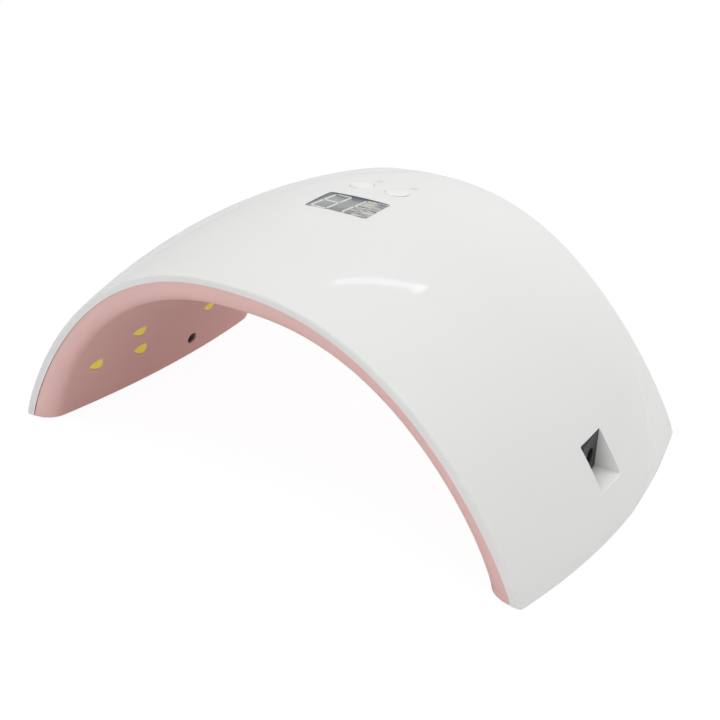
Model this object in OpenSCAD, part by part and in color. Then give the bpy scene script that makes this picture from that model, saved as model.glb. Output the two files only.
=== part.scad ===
// LED nail lamp: a glossy arched shell over a pink reflector that straddles the hand.
// x runs across the arch, y from the front edge to the rear edge, z up.
// The origin is on the table, below the middle of the lamp.

/* [Shell] */
// Distance between the outer corners of the two front feet
front_span = 205; // [185:1:225]
// Height of the front arch above the feet
front_height = 80; // [74:1:90]
// Depth of the lamp along its crown
crown_depth = 130; // [126:1:138]
// Depth of each foot along the table
foot_depth = 118; // [112:1:124]
// How far each side swells out behind the front edge
side_bulge = 12.4; // [9:0.1:16]
// Distance behind the front edge of the widest section
widest_at = 75; // [68:1:85]
// How far the crown climbs behind the front edge
crown_rise = 4.5; // [3:0.1:6]
// Distance behind the front edge of the highest section
highest_at = 55; // [50:1:65]
// Thickness of the shell at the crown
crown_wall = 2.4; // [2:0.1:2.8]
// Thickness of the shell at the feet
foot_wall = 3.5; // [3:0.1:4]
// Bevel on the front and rear outer edges of the shell
edge_bevel = 0.7; // [0.3:0.1:1.2]

/* [Reflector] */
// Room between the front corner of each foot and the narrowest section of the tunnel
flank_room = 23; // [21:0.5:26]
// Room between the top of the front arch and the roof of the tunnel's narrowest section
crown_room = 21.8; // [21:0.1:24]
// Distance behind the front edge of the narrowest section
throat_at = 88; // [80:1:95]
// How far the tunnel opens from its narrowest section to the front
throat_flare = 12; // [10:0.1:14]
// Thickness of the reflector
liner_wall = 2; // [1.6:0.1:2.2]
// Gap between the reflector's rim and the shell
liner_gap = 0.2; // [0.1:0.05:0.4]
// Depth of the rounded front flare
front_roll = 6; // [4:0.5:8]
// Depth of the rounded rear flare
rear_roll = 12; // [8:0.5:14]
// How far the rear flare opens
rear_spread = 10; // [6:0.5:12]
// Thickness of the plate that closes each foot
plate_t = 1.6; // [1.2:0.1:2]

/* [Feet] */
// Distance of the front pads behind the front edge
front_pad_d = 24; // [20:1:28]
// Distance of the rear pads behind the front edge
rear_pad_d = 98; // [90:1:102]
// Distance of the front pads from the middle
front_pad_x = 97; // [96:0.5:98]
// Distance of the rear pads from the middle
rear_pad_x = 97; // [94:0.5:101]
// Radius of each rubber pad
pad_r = 5; // [4:0.1:5.5]
// Thickness of each rubber pad
pad_t = 2; // [1.6:0.1:2.4]
// How far the pads stand below the feet
pad_step = 0.6; // [0.4:0.1:0.8]

/* [Screws] */
// Radius of the thread of the foot screws
foot_screw_r = 1.5; // [1.2:0.1:1.6]
// Radius of the head of the foot screws
foot_head_r = 2.7; // [2.4:0.1:3]
// Thickness of the head of the foot screws
foot_head_t = 1.7; // [1.4:0.1:2]
// Length of the foot screws below the head
foot_screw_len = 9; // [7:0.5:11]
// Radius of the thread of the board screws
board_screw_r = 1; // [0.8:0.1:1.2]
// Radius of the head of the board screws
board_head_r = 2; // [1.7:0.1:2.3]
// Thickness of the head of the board screws
board_head_t = 1.2; // [1:0.1:1.6]
// Length of the board screws below the head
board_screw_len = 5; // [4:0.5:6]

/* [Display] */
// Width of the display window
window_w = 24.8; // [22:0.1:28]
// Length of the display window from front to rear
window_l = 17; // [15:0.1:18]
// Corner radius of the display window
window_r = 1.2; // [0.6:0.1:2]
// Distance of the window's middle behind the front edge
window_at = 66.6; // [65:0.1:68]
// Thickness of the window's lens
lens_t = 1.6; // [1.2:0.1:1.8]
// Width of the digit module
module_w = 26; // [25:0.1:30]
// Length of the digit module from front to rear
module_l = 19; // [18:0.1:20]
// Height of the digit module above the board
module_h = 8; // [7:0.1:9]
// Height of each digit from front to rear
digit_h = 13.6; // [12:0.1:14]
// Width of each digit
digit_w = 7.6; // [6.5:0.1:8]
// Distance between the two digits
digit_pitch = 12.4; // [11.5:0.1:12.8]
// Width of one segment of a digit
segment_w = 1.2; // [0.9:0.1:1.4]
// Slant of the digits in degrees
digit_slant = 8; // [0:1:10]

/* [Buttons] */
// Radius of each button cap
button_r = 4.3; // [3.8:0.1:4.6]
// Distance of each button from the middle
button_x = 7.4; // [6.8:0.1:9]
// Distance of the buttons behind the front edge
button_at = 88.3; // [87:0.1:90]
// Gap between a button cap and its hole
button_gap = 0.25; // [0.15:0.05:0.35]
// How far a cap stands above the shell
button_proud = 0.4; // [0.2:0.1:0.8]
// Travel of a button
button_travel = 0.4; // [0.2:0.1:0.6]
// Width of the tactile switch body
switch_w = 6; // [5:0.1:6.4]
// Height of the tactile switch body
switch_h = 3.5; // [3:0.1:4]
// Radius of the tactile switch plunger
plunger_r = 1.75; // [1.4:0.05:2]
// How far the plunger stands above its switch
plunger_out = 1.2; // [1:0.1:1.6]

/* [Power jack] */
// Width of the jack pocket from front to rear
pocket_w = 13.8; // [13.2:0.1:14.6]
// Height of the jack pocket
pocket_h = 14.8; // [13.8:0.1:15.4]
// Height of the pocket floor above the feet
pocket_z = 13.4; // [12:0.1:15]
// Distance of the pocket's middle behind the front edge
pocket_at = 56.2; // [52:0.1:62]
// Distance of the pocket's end face from the middle of the lamp
pocket_x = 99.4; // [98:0.1:100]
// Wall of the sleeve round the pocket
sleeve_wall = 1.6; // [1.2:0.1:2]
// Radius of the round plug opening
plug_r = 3.2; // [2.9:0.05:3.6]
// Depth of the round plug opening
plug_depth = 9.5; // [8:0.5:10]
// Radius of the centre contact
pin_r = 1.05; // [0.8:0.05:1.25]
// Length of the jack body behind its face
jack_len = 13; // [12:0.5:14]

/* [Lamp beads] */
// Width of each square bead
bead_w = 5.4; // [5:0.1:5.6]
// Thickness of each bead
bead_t = 1.5; // [1.2:0.1:1.8]
// Half length of the eye-shaped opening for each bead
eye_half = 3.6; // [3.4:0.1:4]
// Reach of the opening above the line of its tips
eye_up = 1.6; // [1.4:0.1:2]
// Reach of the opening below the line of its tips
eye_down = 4; // [3.9:0.1:4.4]
// Radius of each yellow bead lens
bead_lens_r = 2.6; // [2.3:0.1:2.7]
// Distance of the front bead of each flank behind the front edge
flank_front_at = 17.6; // [16:0.1:20]
// Distance of the rear bead of each flank behind the front edge
flank_rear_at = 75; // [70:1:80]
// Distance of the front row of crown beads behind the front edge
crown_front_at = 38; // [34:1:42]
// Distance of the rear row of crown beads behind the front edge
crown_rear_at = 84; // [80:1:88]
// Margin of the bead boards round their beads
bead_rim = 7; // [6:0.5:8]
// Thickness of the bead boards
led_board_t = 1.2; // [1:0.1:1.6]
// Radius of the hand sensor's lens
sensor_r = 2.3; // [2:0.1:2.5]

/* [Control board] */
// Margin of the control board round its screws
board_rim = 5; // [4:0.5:5.5]
// Thickness of the control board
board_t = 1.6; // [1.2:0.1:2]
// Distance of the board's middle behind the front edge
board_at = 75; // [74:0.5:76]
// Distance between the board screws across the lamp
board_hole_w = 64; // [60:1:66]
// Distance between the board screws from front to rear
board_hole_l = 44; // [42:1:46]

/* [Hidden] */
$fn = 48;

// Exponents of the arch curve z = height * (1 - |t|^p)^q, on the rim and in the throat
rim_p = 2.3;
rim_q = 0.86;
throat_p = 2.6;
throat_q = 0.64;
// Number of steps round the arch and from front to rear
arch_steps = 37;
depth_steps = 10;
roll_steps = 3;
// Rows of a bead board, and its pitch round the arch
strip_rows = 6;
strip_pitch = 5;
// The reflector stays this much further inside the shell along the feet
plate_step = 0.4;
// Clearances
fit_gap = 0.2;
slide_gap = 0.05;
// Thin gap between flat pieces that are glued or soldered together
glue_gap = 0.1;
// Gaps between the curved boards and the flat beads and ribbons that are soldered to them
bead_gap = 0.5;
solder_gap = 0.25;

// Heights counted from the underside of the feet
module_top = min(
    inner_z(module_w / 2, window_at + module_l / 2),
    inner_z(module_w / 2, window_at - module_l / 2)
) - fit_gap;
board_top = module_top - module_h;
board_low = board_top - board_t;
switch_top = board_top + switch_h;
board_w = board_hole_w + 2 * board_rim;
board_l = board_hole_l + 2 * board_rim;
stem_low = switch_top + plunger_out;
flange_t = 1;
flange_top = inner_z(button_x + button_r + 1, button_at + button_r + 1) - 0.3;
bead_lens_t = 0.3;
bead_middle = (eye_down - eye_up) / 2;
board_lift = liner_wall + 0.55;
bead_low = board_lift - bead_gap - bead_t;
ribbon_lift = board_lift + led_board_t + solder_gap;
ribbon_t = 0.5;
ribbon_w = 10;
ribbon_at = 60;
segment_t = 0.2;
sensor_inset = 0.6;
sensor_len = 6;
boss_r = 3.4;
boss_top = 5;
pad_boss_r = pad_r + 1.2;
lens_low = module_top + segment_t + glue_gap;
cap_dome_r = 40;
cap_top = [button_x, button_at, shell_z(button_x, button_at) + button_proud];
cap_slope = (shell_z(button_x, button_at + 1) - shell_z(button_x, button_at - 1)) / 2;
jack_w = 9;
jack_h = 11;
jack_mid = pocket_z + pocket_h / 2;
jack_face_t = 1.2;
lead_r = 0.8;
lead_pitch = 2.6;
connector_at = board_at - 3;
connector_w = 12;
connector_l = 5;
chip_x = 18;
chip_y = -8;
capacitor_x = 24;
capacitor_y = 12;
inductor_x = -24;
inductor_y = 10;
chip_w = 9;
chip_t = 1.2;
capacitor_r = 4;
capacitor_h = 7;
inductor_r = 5;
inductor_h = 5;

// Beads as [place on the arch, distance behind the front edge]
side_beads = [
    [0.926, flank_front_at],
    [0.876, lerp(flank_front_at, flank_rear_at, 0.3)],
    [0.946, lerp(flank_front_at, flank_rear_at, 0.38)],
    [0.907, flank_rear_at]
];
top_beads = [for (t = [-0.6, -0.3, 0, 0.3, 0.6], d = [crown_front_at, crown_rear_at]) [t, d]];
sensor_place = [0.985, 70];

function arch(t, p, q) = pow(max(0, 1 - pow(abs(t), p)), q);
function hump(d, place, rise) = rise * (1 - pow((d - place) / place, 2));
function lerp(a, b, f) = a + (b - a) * f;

// Half width and height of the shell's outer face at the distance d behind the front edge
function shell_half(d) = front_span / 2 + hump(d, widest_at, side_bulge);
function shell_top(d) = front_height + hump(d, highest_at, crown_rise);
// Depth of the rear edge at the place t on the arch, from -1 at the left foot to 1 at the right
function rear_edge(t) = lerp(foot_depth, crown_depth, pow(arch(t, rim_p, rim_q), 3));
// Heights of the shell's outer and inner faces above a point
function shell_z(x, d) = shell_top(d) * arch(x / shell_half(d), rim_p, rim_q);
function inner_z(x, d) = (shell_top(d) - crown_wall) * arch(x / (shell_half(d) - foot_wall), rim_p, rim_q);

// Moves a point [x, distance behind the front edge, height above the feet] into the lamp's frame
function placed(v) = [v[0], v[1] - crown_depth / 2, v[2] + pad_step];

// Steps along the shell as [share of the depth, added distance, added inset]
shell_steps = [
    [0, 0, edge_bevel],
    for (j = [0 : depth_steps]) [j / depth_steps, lerp(edge_bevel, -edge_bevel, j / depth_steps), 0],
    [1, 0, edge_bevel]
];
arch_places = [for (i = [0 : arch_steps]) sin(lerp(-90, 90, i / arch_steps))];

function shell_point(t, step, foot_inset, crown_inset) =
    let (d = step[0] * rear_edge(t) + step[1])
    placed([
        t * (shell_half(d) - foot_inset - step[2]),
        d,
        (shell_top(d) - crown_inset - step[2]) * arch(t, rim_p, rim_q)
    ]);
function flat_step(step) = [step[0], step[1], 0];

// Base of the tunnel: its narrowest half width or height plus the opening towards the ends
function flare(d) = throat_flare * pow((d - throat_at) / throat_at, 2);
// 0 on both rims and 1 through the throat
function inside(t, d) = 1 - pow(2 * d / rear_edge(t) - 1, 4);
function liner_arch(t, d) =
    arch(t, lerp(rim_p, throat_p, inside(t, d)), lerp(rim_q, throat_q, inside(t, d)));

throat_span = front_span - 2 * flank_room;
throat_height = front_height - crown_room;
rim_half = front_span / 2 - foot_wall - liner_gap - plate_step;
rim_top = front_height - crown_wall - liner_gap;
front_open_half = rim_half - throat_span / 2 - throat_flare;
front_open_top = rim_top - throat_height - throat_flare;

// Steps along the reflector as
// [share of the depth, added distance, added half width, added height, sideways and lengthwise lean]
liner_steps = [
    for (k = [0 : roll_steps])
        let (a = 90 * k / roll_steps)
        [
            0, front_roll * (1 - cos(a)) + edge_bevel / 2,
            front_open_half * (1 - sin(a)), front_open_top * (1 - sin(a)), sin(a), cos(a)
        ],
    for (j = [1 : depth_steps - 1])
        let (f = j / depth_steps)
        [f, lerp(front_roll, -rear_roll, f), 0, 0, 1, 0],
    for (k = [roll_steps : -1 : 0])
        let (a = 90 * k / roll_steps)
        [
            1, -rear_roll * (1 - cos(a)) - edge_bevel,
            rear_spread * (1 - sin(a)), rear_spread * (1 - sin(a)), sin(a), -cos(a)
        ]
];

function liner_point(t, step, back) =
    let (
        d = step[0] * rear_edge(t) + step[1],
        moved = d + back * step[5],
        half = throat_span / 2 + flare(d) + step[2] + back * step[4],
        top = throat_height + flare(d) + step[3] + back * step[4]
    )
    placed([t * half, moved, max(top * liner_arch(t, d), back > 0 ? plate_t : 0)]);

// Edge of the reflector's rear face, which reaches out to the shell
function rear_point(t, back) =
    let (d = rear_edge(t) - edge_bevel / 2 - back)
    placed([
        t * (shell_half(d) - foot_wall - liner_gap - plate_step),
        d,
        max((shell_top(d) - crown_wall - liner_gap) * arch(t, rim_p, rim_q), back > 0 ? plate_t : 0)
    ]);

// Outer edge of the plate below each foot at the height z, on the side given by the sign of t
function plate_point(t, y, z) =
    let (
        d = y + crown_depth / 2,
        drop = pow(1 - pow(z / (shell_top(d) - crown_wall), 1 / rim_q), 1 / rim_p)
    )
    placed([t * ((shell_half(d) - foot_wall) * drop - liner_gap), d, z]);

function with_plates(row, z) = concat(
    [plate_point(-1, row[0][1], z)],
    row,
    [plate_point(1, row[len(row) - 1][1], z)]
);

function liner_face(back) = [
    for (step = liner_steps)
        with_plates([for (t = arch_places) liner_point(t, step, back)], back > 0 ? plate_t : 0),
    with_plates([for (t = arch_places) rear_point(t, back)], back > 0 ? plate_t : 0)
];

// Point behind the reflector's visible face, by the distance out along its normal
function throat_point(t, d, out) =
    let (
        e = 0.001,
        half = throat_span / 2 + flare(d),
        top = throat_height + flare(d),
        p = [t * half, 0, top * liner_arch(t, d)],
        q = [(t - e) * half, 0, top * liner_arch(t - e, d)],
        a = atan2(p[2] - q[2], p[0] - q[0])
    )
    [p[0] - out * sin(a), d, p[2] + out * cos(a), a];

// A closed thin body between two grids of points with equal rows
module sheet(upper, lower) {
    rows = len(upper);
    cols = len(upper[0]);
    points = concat([for (row = upper) each row], [for (row = lower) each row]);
    low = rows * cols;
    last = (rows - 1) * cols;
    quads = [
        for (j = [0 : rows - 2], i = [0 : cols - 2])
            let (a = j * cols + i)
            each [
                [a, a + cols, a + cols + 1, a + 1],
                [low + a, low + a + 1, low + a + cols + 1, low + a + cols]
            ],
        for (i = [0 : cols - 2])
            each [
                [i, i + 1, low + i + 1, low + i],
                [last + i + 1, last + i, low + last + i, low + last + i + 1]
            ],
        for (j = [0 : rows - 2])
            let (a = j * cols, b = a + cols - 1)
            each [
                [a + cols, a, low + a, low + a + cols],
                [b, b + cols, low + b + cols, low + b]
            ]
    ];
    polyhedron(points, [for (f = quads) each [[f[0], f[1], f[2]], [f[0], f[2], f[3]]]]);
}

// Places its children at a point given by [x, distance behind the front edge, height]
module at(v) {
    translate(placed(v)) children();
}

// Places its children on the reflector's back, with z out along the normal
module on_liner(t, d, out) {
    p = throat_point(t, d, out);
    at(p) rotate([0, -p[3], 0]) children();
}

module both_sides() {
    children();
    mirror([1, 0, 0]) children();
}

module rounded_plate(w, l, r, h) {
    linear_extrude(h) {
        square([w - 2 * r, l], center = true);
        square([w, l - 2 * r], center = true);
        for (x = [-1, 1], y = [-1, 1]) translate([x * (w / 2 - r), y * (l / 2 - r)]) circle(r);
    }
}

module pad_places() {
    both_sides() {
        at([front_pad_x, front_pad_d, 0]) children();
        at([rear_pad_x, rear_pad_d, 0]) children();
    }
}

module board_hole_places(z) {
    for (x = [-1, 1], y = [-1, 1])
        at([x * board_hole_w / 2, board_at + y * board_hole_l / 2, z]) children();
}

// Everything below the middle of the shell's wall, which trims what hangs from the shell
module shell_room() {
    steps = [for (j = [0 : 6]) [j / 6, 0, 0]];
    places = [for (i = [0 : 24]) sin(lerp(-90, 90, i / 24))];
    upper = [
        for (s = steps) [for (t = places) shell_point(t, s, foot_wall / 2, crown_wall / 2)]
    ];
    lower = [for (row = upper) [for (p = row) [p[0], p[1], -1]]];
    sheet(upper, lower);
}

module outer_shell() color([0.93, 0.93, 0.92]) {
    difference() {
        union() {
            sheet(
                [for (s = shell_steps) [for (t = arch_places) shell_point(t, s, 0, 0)]],
                [
                    for (s = shell_steps)
                        [for (t = arch_places) shell_point(t, flat_step(s), foot_wall, crown_wall)]
                ]
            );
            intersection() {
                shell_room();
                union() {
                    pad_places() translate([0, 0, boss_top]) cylinder(r = boss_r, h = front_height / 2);
                    board_hole_places(board_top) cylinder(r = boss_r, h = front_height);
                    at([pocket_x - 4, pocket_at - pocket_w / 2 - sleeve_wall, pocket_z - sleeve_wall])
                        cube([front_span, pocket_w + 2 * sleeve_wall, pocket_h + 2 * sleeve_wall]);
                }
            }
        }
        pad_places() translate([0, 0, boss_top - 1])
            cylinder(r = foot_screw_r + slide_gap, h = foot_screw_len);
        board_hole_places(board_top - 1)
            cylinder(r = board_screw_r + slide_gap, h = board_screw_len);
        at([pocket_x - 5, pocket_at - pocket_w / 2, pocket_z])
            cube([front_span, pocket_w, pocket_h]);
        at([0, window_at, board_top]) rounded_plate(window_w, window_l, window_r, front_height);
        both_sides() at([button_x, button_at, board_top])
            cylinder(r = button_r + button_gap, h = front_height);
    }
}

// Places its children at a bead, with x down the flank
module bead_frame(b, out) {
    on_liner(b[0], b[1], out) rotate([0, 0, b[0] < 0 ? 180 : 0]) children();
}

// Opening for a bead, pointed at both ends along the depth of the lamp, over a square pocket
module bead_eye(b) {
    up_r = (eye_half * eye_half + eye_up * eye_up) / (2 * eye_up);
    down_r = (eye_half * eye_half + eye_down * eye_down) / (2 * eye_down);
    pocket = bead_w + 2 * fit_gap;
    bead_frame(b, -liner_wall) linear_extrude(2 * liner_wall) intersection() {
        translate([up_r - eye_up, 0]) circle(up_r);
        translate([eye_down - down_r, 0]) circle(down_r);
    }
    bead_frame(b, bead_low - glue_gap)
        translate([bead_middle - pocket / 2, -pocket / 2, 0]) cube([pocket, pocket, liner_wall]);
}

module inner_liner() color([0.86, 0.66, 0.64]) {
    difference() {
        union() {
            sheet(liner_face(liner_wall), liner_face(0));
            pad_places() cylinder(r = pad_boss_r, h = boss_top);
        }
        pad_places() {
            translate([0, 0, -1]) cylinder(r = pad_r + fit_gap, h = 1 + pad_t - pad_step);
            cylinder(r = foot_head_r + fit_gap, h = pad_t - pad_step + foot_head_t);
            cylinder(r = foot_screw_r + fit_gap, h = boss_top + 1);
        }
        for (b = top_beads) bead_eye(b);
        both_sides() for (b = side_beads) bead_eye(b);
        for (x = [-1, 1]) on_liner(x * sensor_place[0], sensor_place[1], -liner_wall)
            cylinder(r = sensor_r + fit_gap, h = 3 * liner_wall);
    }
}

module display_window() color([0.2, 0.2, 0.22, 0.6]) {
    at([0, window_at, lens_low])
        rounded_plate(window_w - 2 * fit_gap, window_l - 2 * fit_gap, window_r, lens_t);
}

module display_module() color([0.12, 0.12, 0.13]) {
    at([0, window_at, board_top]) translate([-module_w / 2, -module_l / 2, 0])
        cube([module_w, module_l, module_h]);
}

// One segment along x with pointed ends
module segment(len) {
    w = segment_w / 2;
    linear_extrude(segment_t)
        polygon([
            [-len / 2, 0], [w - len / 2, w], [len / 2 - w, w],
            [len / 2, 0], [len / 2 - w, -w], [w - len / 2, -w]
        ]);
}

module digit() {
    bar = digit_w - segment_w;
    side = (digit_h - segment_w) / 2;
    gap = 0.15;
    for (k = [-1, 0, 1]) translate([k * side * tan(digit_slant), k * side, 0]) segment(bar - 2 * gap);
    for (x = [-1, 1], k = [-1, 1])
        translate([x * bar / 2 + k * side / 2 * tan(digit_slant), k * side / 2, 0])
            rotate([0, 0, 90 - digit_slant]) segment(side / cos(digit_slant) - 2 * gap);
}

module display_segments() color([0.8, 0.84, 0.78]) {
    for (x = [-1, 1]) at([x * digit_pitch / 2, window_at, module_top]) digit();
}

module button_cap() {
    at([button_x, button_at, stem_low]) {
        cylinder(r = plunger_r, h = flange_top - stem_low);
        translate([0, 0, flange_top - flange_t - stem_low]) cylinder(r = button_r + 1, h = flange_t);
    }
    intersection() {
        at([button_x, button_at, flange_top - flange_t / 2]) cylinder(r = button_r, h = front_height);
        at(cap_top) rotate([atan(cap_slope), 0, 0]) translate([0, 0, -cap_dome_r])
            sphere(r = cap_dome_r, $fn = 128);
    }
}

module button_left() color([0.93, 0.93, 0.92]) mirror([1, 0, 0]) button_cap();

module button_right() color([0.93, 0.93, 0.92]) button_cap();

module switch_body() {
    at([button_x, button_at, board_top]) difference() {
        translate([-switch_w / 2, -switch_w / 2, 0]) cube([switch_w, switch_w, switch_h]);
        translate([0, 0, switch_h - plunger_out - button_travel - slide_gap])
            cylinder(r = plunger_r + slide_gap, h = switch_h);
    }
}

module switch_left() color([0.25, 0.25, 0.27]) mirror([1, 0, 0]) switch_body();

module switch_right() color([0.25, 0.25, 0.27]) switch_body();

module plunger() {
    at([button_x, button_at, switch_top - plunger_out]) cylinder(r = plunger_r, h = 2 * plunger_out);
}

module plunger_left() color([0.1, 0.1, 0.1]) mirror([1, 0, 0]) plunger();

module plunger_right() color([0.1, 0.1, 0.1]) plunger();

module control_board() color([0.1, 0.42, 0.25]) {
    difference() {
        at([0, board_at, board_low]) rounded_plate(board_w, board_l, 2, board_t);
        board_hole_places(board_low - 1) cylinder(r = board_screw_r + fit_gap, h = board_t + 2);
    }
}

module controller_chip() color([0.12, 0.12, 0.12]) {
    at([chip_x, board_at + chip_y, board_low - chip_t]) cube([chip_w, chip_w, chip_t]);
}

module smoothing_capacitor() color([0.2, 0.25, 0.45]) {
    at([capacitor_x, board_at + capacitor_y, board_low - capacitor_h]) cylinder(r = capacitor_r, h = capacitor_h);
}

module power_inductor() color([0.3, 0.3, 0.32]) {
    at([inductor_x, board_at + inductor_y, board_low - inductor_h]) cylinder(r = inductor_r, h = inductor_h);
}

module board_connector() color([0.92, 0.9, 0.82]) {
    low = throat_point(0, connector_at - connector_l / 2, board_lift + led_board_t)[2] + glue_gap;
    at([-connector_w / 2, connector_at - connector_l / 2, low])
        cube([connector_w, connector_l, board_low - low]);
}

module jack_body() color([0.13, 0.13, 0.14]) {
    difference() {
        union() {
            at([pocket_x - jack_face_t, pocket_at - pocket_w / 2 + fit_gap, pocket_z + fit_gap])
                cube([jack_face_t, pocket_w - 2 * fit_gap, pocket_h - 2 * fit_gap]);
            at([pocket_x - jack_len, pocket_at - jack_w / 2, jack_mid - jack_h / 2])
                cube([jack_len - jack_face_t / 2, jack_w, jack_h]);
        }
        at([pocket_x - plug_depth, pocket_at, jack_mid]) rotate([0, 90, 0])
            cylinder(r = plug_r, h = plug_depth + 1);
    }
}

module jack_pin() color([0.85, 0.8, 0.6]) {
    at([pocket_x - plug_depth, pocket_at, jack_mid]) rotate([0, 90, 0])
        cylinder(r = pin_r, h = plug_depth - 1);
}

// Point halfway between the reflector's back and the shell's inner face
function gap_point(t, d) =
    let (
        p = throat_point(t, d, liner_wall),
        half = shell_half(d) - foot_wall,
        top = (shell_top(d) - crown_wall) * arch(t, rim_p, rim_q)
    )
    [(p[0] + t * half) / 2, d, (p[2] + top) / 2];

// Route of one power lead: out of the jack's back, up between the walls and into the board
lead_places = [0.88, 0.81, 0.74, 0.66, 0.58, 0.5, 0.42];
lead_route = [
    [pocket_x - jack_len, pocket_at, jack_mid + jack_h / 4],
    [pocket_x - jack_len - 1.2, pocket_at, jack_mid + jack_h / 4],
    for (k = [0 : len(lead_places) - 1])
        gap_point(lead_places[k], lerp(pocket_at, board_at, (k + 1) / len(lead_places))),
    [board_w / 2 - 4, board_at, board_low - 1.5],
    [board_w / 2 - 4, board_at, board_low]
];

module lead(shift) {
    last = len(lead_route) - 1;
    sides = 8;
    ring = [for (k = [0 : sides - 1]) 360 * k / sides];
    points = [
        for (k = [0 : last])
            let (
                p = lead_route[k],
                v = lead_route[min(k + 1, last)] - lead_route[max(k - 1, 0)],
                a = k == 0 ? 180 : k == last ? 90 : atan2(v[2], v[0])
            )
            for (b = ring)
                placed([
                    p[0] - lead_r * cos(b) * sin(a),
                    p[1] + shift + lead_r * sin(b),
                    p[2] + lead_r * cos(b) * cos(a)
                ])
    ];
    walls = [
        for (k = [0 : last - 1], b = [0 : sides - 1])
            let (n = k * sides + b, m = k * sides + (b + 1) % sides)
            each [[n, m, m + sides], [n, m + sides, n + sides]]
    ];
    caps = [
        for (b = [1 : sides - 2])
            each [[0, b + 1, b], [last * sides, last * sides + b, last * sides + b + 1]]
    ];
    polyhedron(points, concat(walls, caps));
}

module jack_leads() color([0.7, 0.12, 0.1]) {
    for (side = [-1, 1]) lead(side * lead_pitch / 2);
}

module led_strip(t0, t1, d0, d1, low, thick) {
    steps = ceil(norm(throat_point(t1, d0, 0) - throat_point(t0, d0, 0)) / strip_pitch);
    rows = [for (j = [0 : strip_rows]) lerp(d0, d1, j / strip_rows)];
    places = [for (i = [0 : steps]) lerp(t0, t1, i / steps)];
    sheet(
        [for (d = rows) [for (t = places) placed(throat_point(t, d, low + thick))]],
        [for (d = rows) [for (t = places) placed(throat_point(t, d, low))]]
    );
}

module side_board() {
    led_strip(0.82, 0.967, flank_front_at - bead_rim, flank_rear_at + bead_rim, board_lift, led_board_t);
}

module led_board_left() color([0.9, 0.9, 0.88]) mirror([1, 0, 0]) side_board();

module led_board_right() color([0.9, 0.9, 0.88]) side_board();

module led_board_top() color([0.9, 0.9, 0.88])
    led_strip(-0.68, 0.68, crown_front_at - bead_rim, crown_rear_at + bead_rim, board_lift, led_board_t);

module beads(list) {
    for (b = list) bead_frame(b, bead_low)
        translate([bead_middle - bead_w / 2, -bead_w / 2, 0]) cube([bead_w, bead_w, bead_t]);
}

module bead_lenses(list) {
    for (b = list) bead_frame(b, bead_low - bead_lens_t)
        translate([bead_middle, 0, 0]) cylinder(r = bead_lens_r, h = bead_lens_t);
}

module led_beads_left() color([0.9, 0.9, 0.85]) mirror([1, 0, 0]) beads(side_beads);

module led_beads_right() color([0.9, 0.9, 0.85]) beads(side_beads);

module led_beads_top() color([0.9, 0.9, 0.85]) beads(top_beads);

module bead_lenses_left() color([0.9, 0.82, 0.25]) mirror([1, 0, 0]) bead_lenses(side_beads);

module bead_lenses_right() color([0.9, 0.82, 0.25]) bead_lenses(side_beads);

module bead_lenses_top() color([0.9, 0.82, 0.25]) bead_lenses(top_beads);

module ribbon() {
    led_strip(0.66, 0.85, ribbon_at - ribbon_w / 2, ribbon_at + ribbon_w / 2, ribbon_lift, ribbon_t);
}

module ribbon_left() color([0.75, 0.75, 0.78]) mirror([1, 0, 0]) ribbon();

module ribbon_right() color([0.75, 0.75, 0.78]) ribbon();

module sensor() {
    on_liner(sensor_place[0], sensor_place[1], sensor_inset) cylinder(r = sensor_r, h = sensor_len);
    on_liner(sensor_place[0], sensor_place[1], liner_wall + fit_gap) cylinder(r = sensor_r + 1, h = 1);
}

module sensor_emitter() color([0.08, 0.08, 0.09]) mirror([1, 0, 0]) sensor();

module sensor_receiver() color([0.08, 0.08, 0.09]) sensor();

module board_screws() color([0.7, 0.7, 0.72]) {
    board_hole_places(board_low) {
        cylinder(r = board_screw_r, h = board_screw_len);
        translate([0, 0, -board_head_t]) cylinder(r = board_head_r, h = board_head_t);
    }
}

module foot_screws() color([0.7, 0.7, 0.72]) {
    pad_places() translate([0, 0, pad_t - pad_step + foot_head_t]) {
        cylinder(r = foot_screw_r, h = foot_screw_len);
        translate([0, 0, -foot_head_t]) cylinder(r = foot_head_r, h = foot_head_t);
    }
}

module foot_pads() color([0.3, 0.3, 0.3]) {
    pad_places() translate([0, 0, -pad_step]) cylinder(r = pad_r, h = pad_t);
}

outer_shell();
inner_liner();
display_window();
display_module();
display_segments();
button_left();
button_right();
switch_left();
switch_right();
plunger_left();
plunger_right();
control_board();
controller_chip();
smoothing_capacitor();
power_inductor();
board_connector();
jack_body();
jack_pin();
jack_leads();
led_board_left();
led_board_right();
led_board_top();
led_beads_left();
led_beads_right();
led_beads_top();
bead_lenses_left();
bead_lenses_right();
bead_lenses_top();
ribbon_left();
ribbon_right();
sensor_emitter();
sensor_receiver();
board_screws();
foot_screws();
foot_pads();
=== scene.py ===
"""LED nail lamp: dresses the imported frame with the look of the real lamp.

A glossy white arch stands over a pink reflector. Both come from one set of curves, kept in ArchForm,
so every opening, bead and button is set on the same surfaces. Sizes are in millimetres inside the
classes and become metres where a mesh is made.
"""

import logging
import math
from dataclasses import dataclass
from enum import Enum
from typing import Any, Callable, Dict, List, Sequence, Tuple, Union

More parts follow.
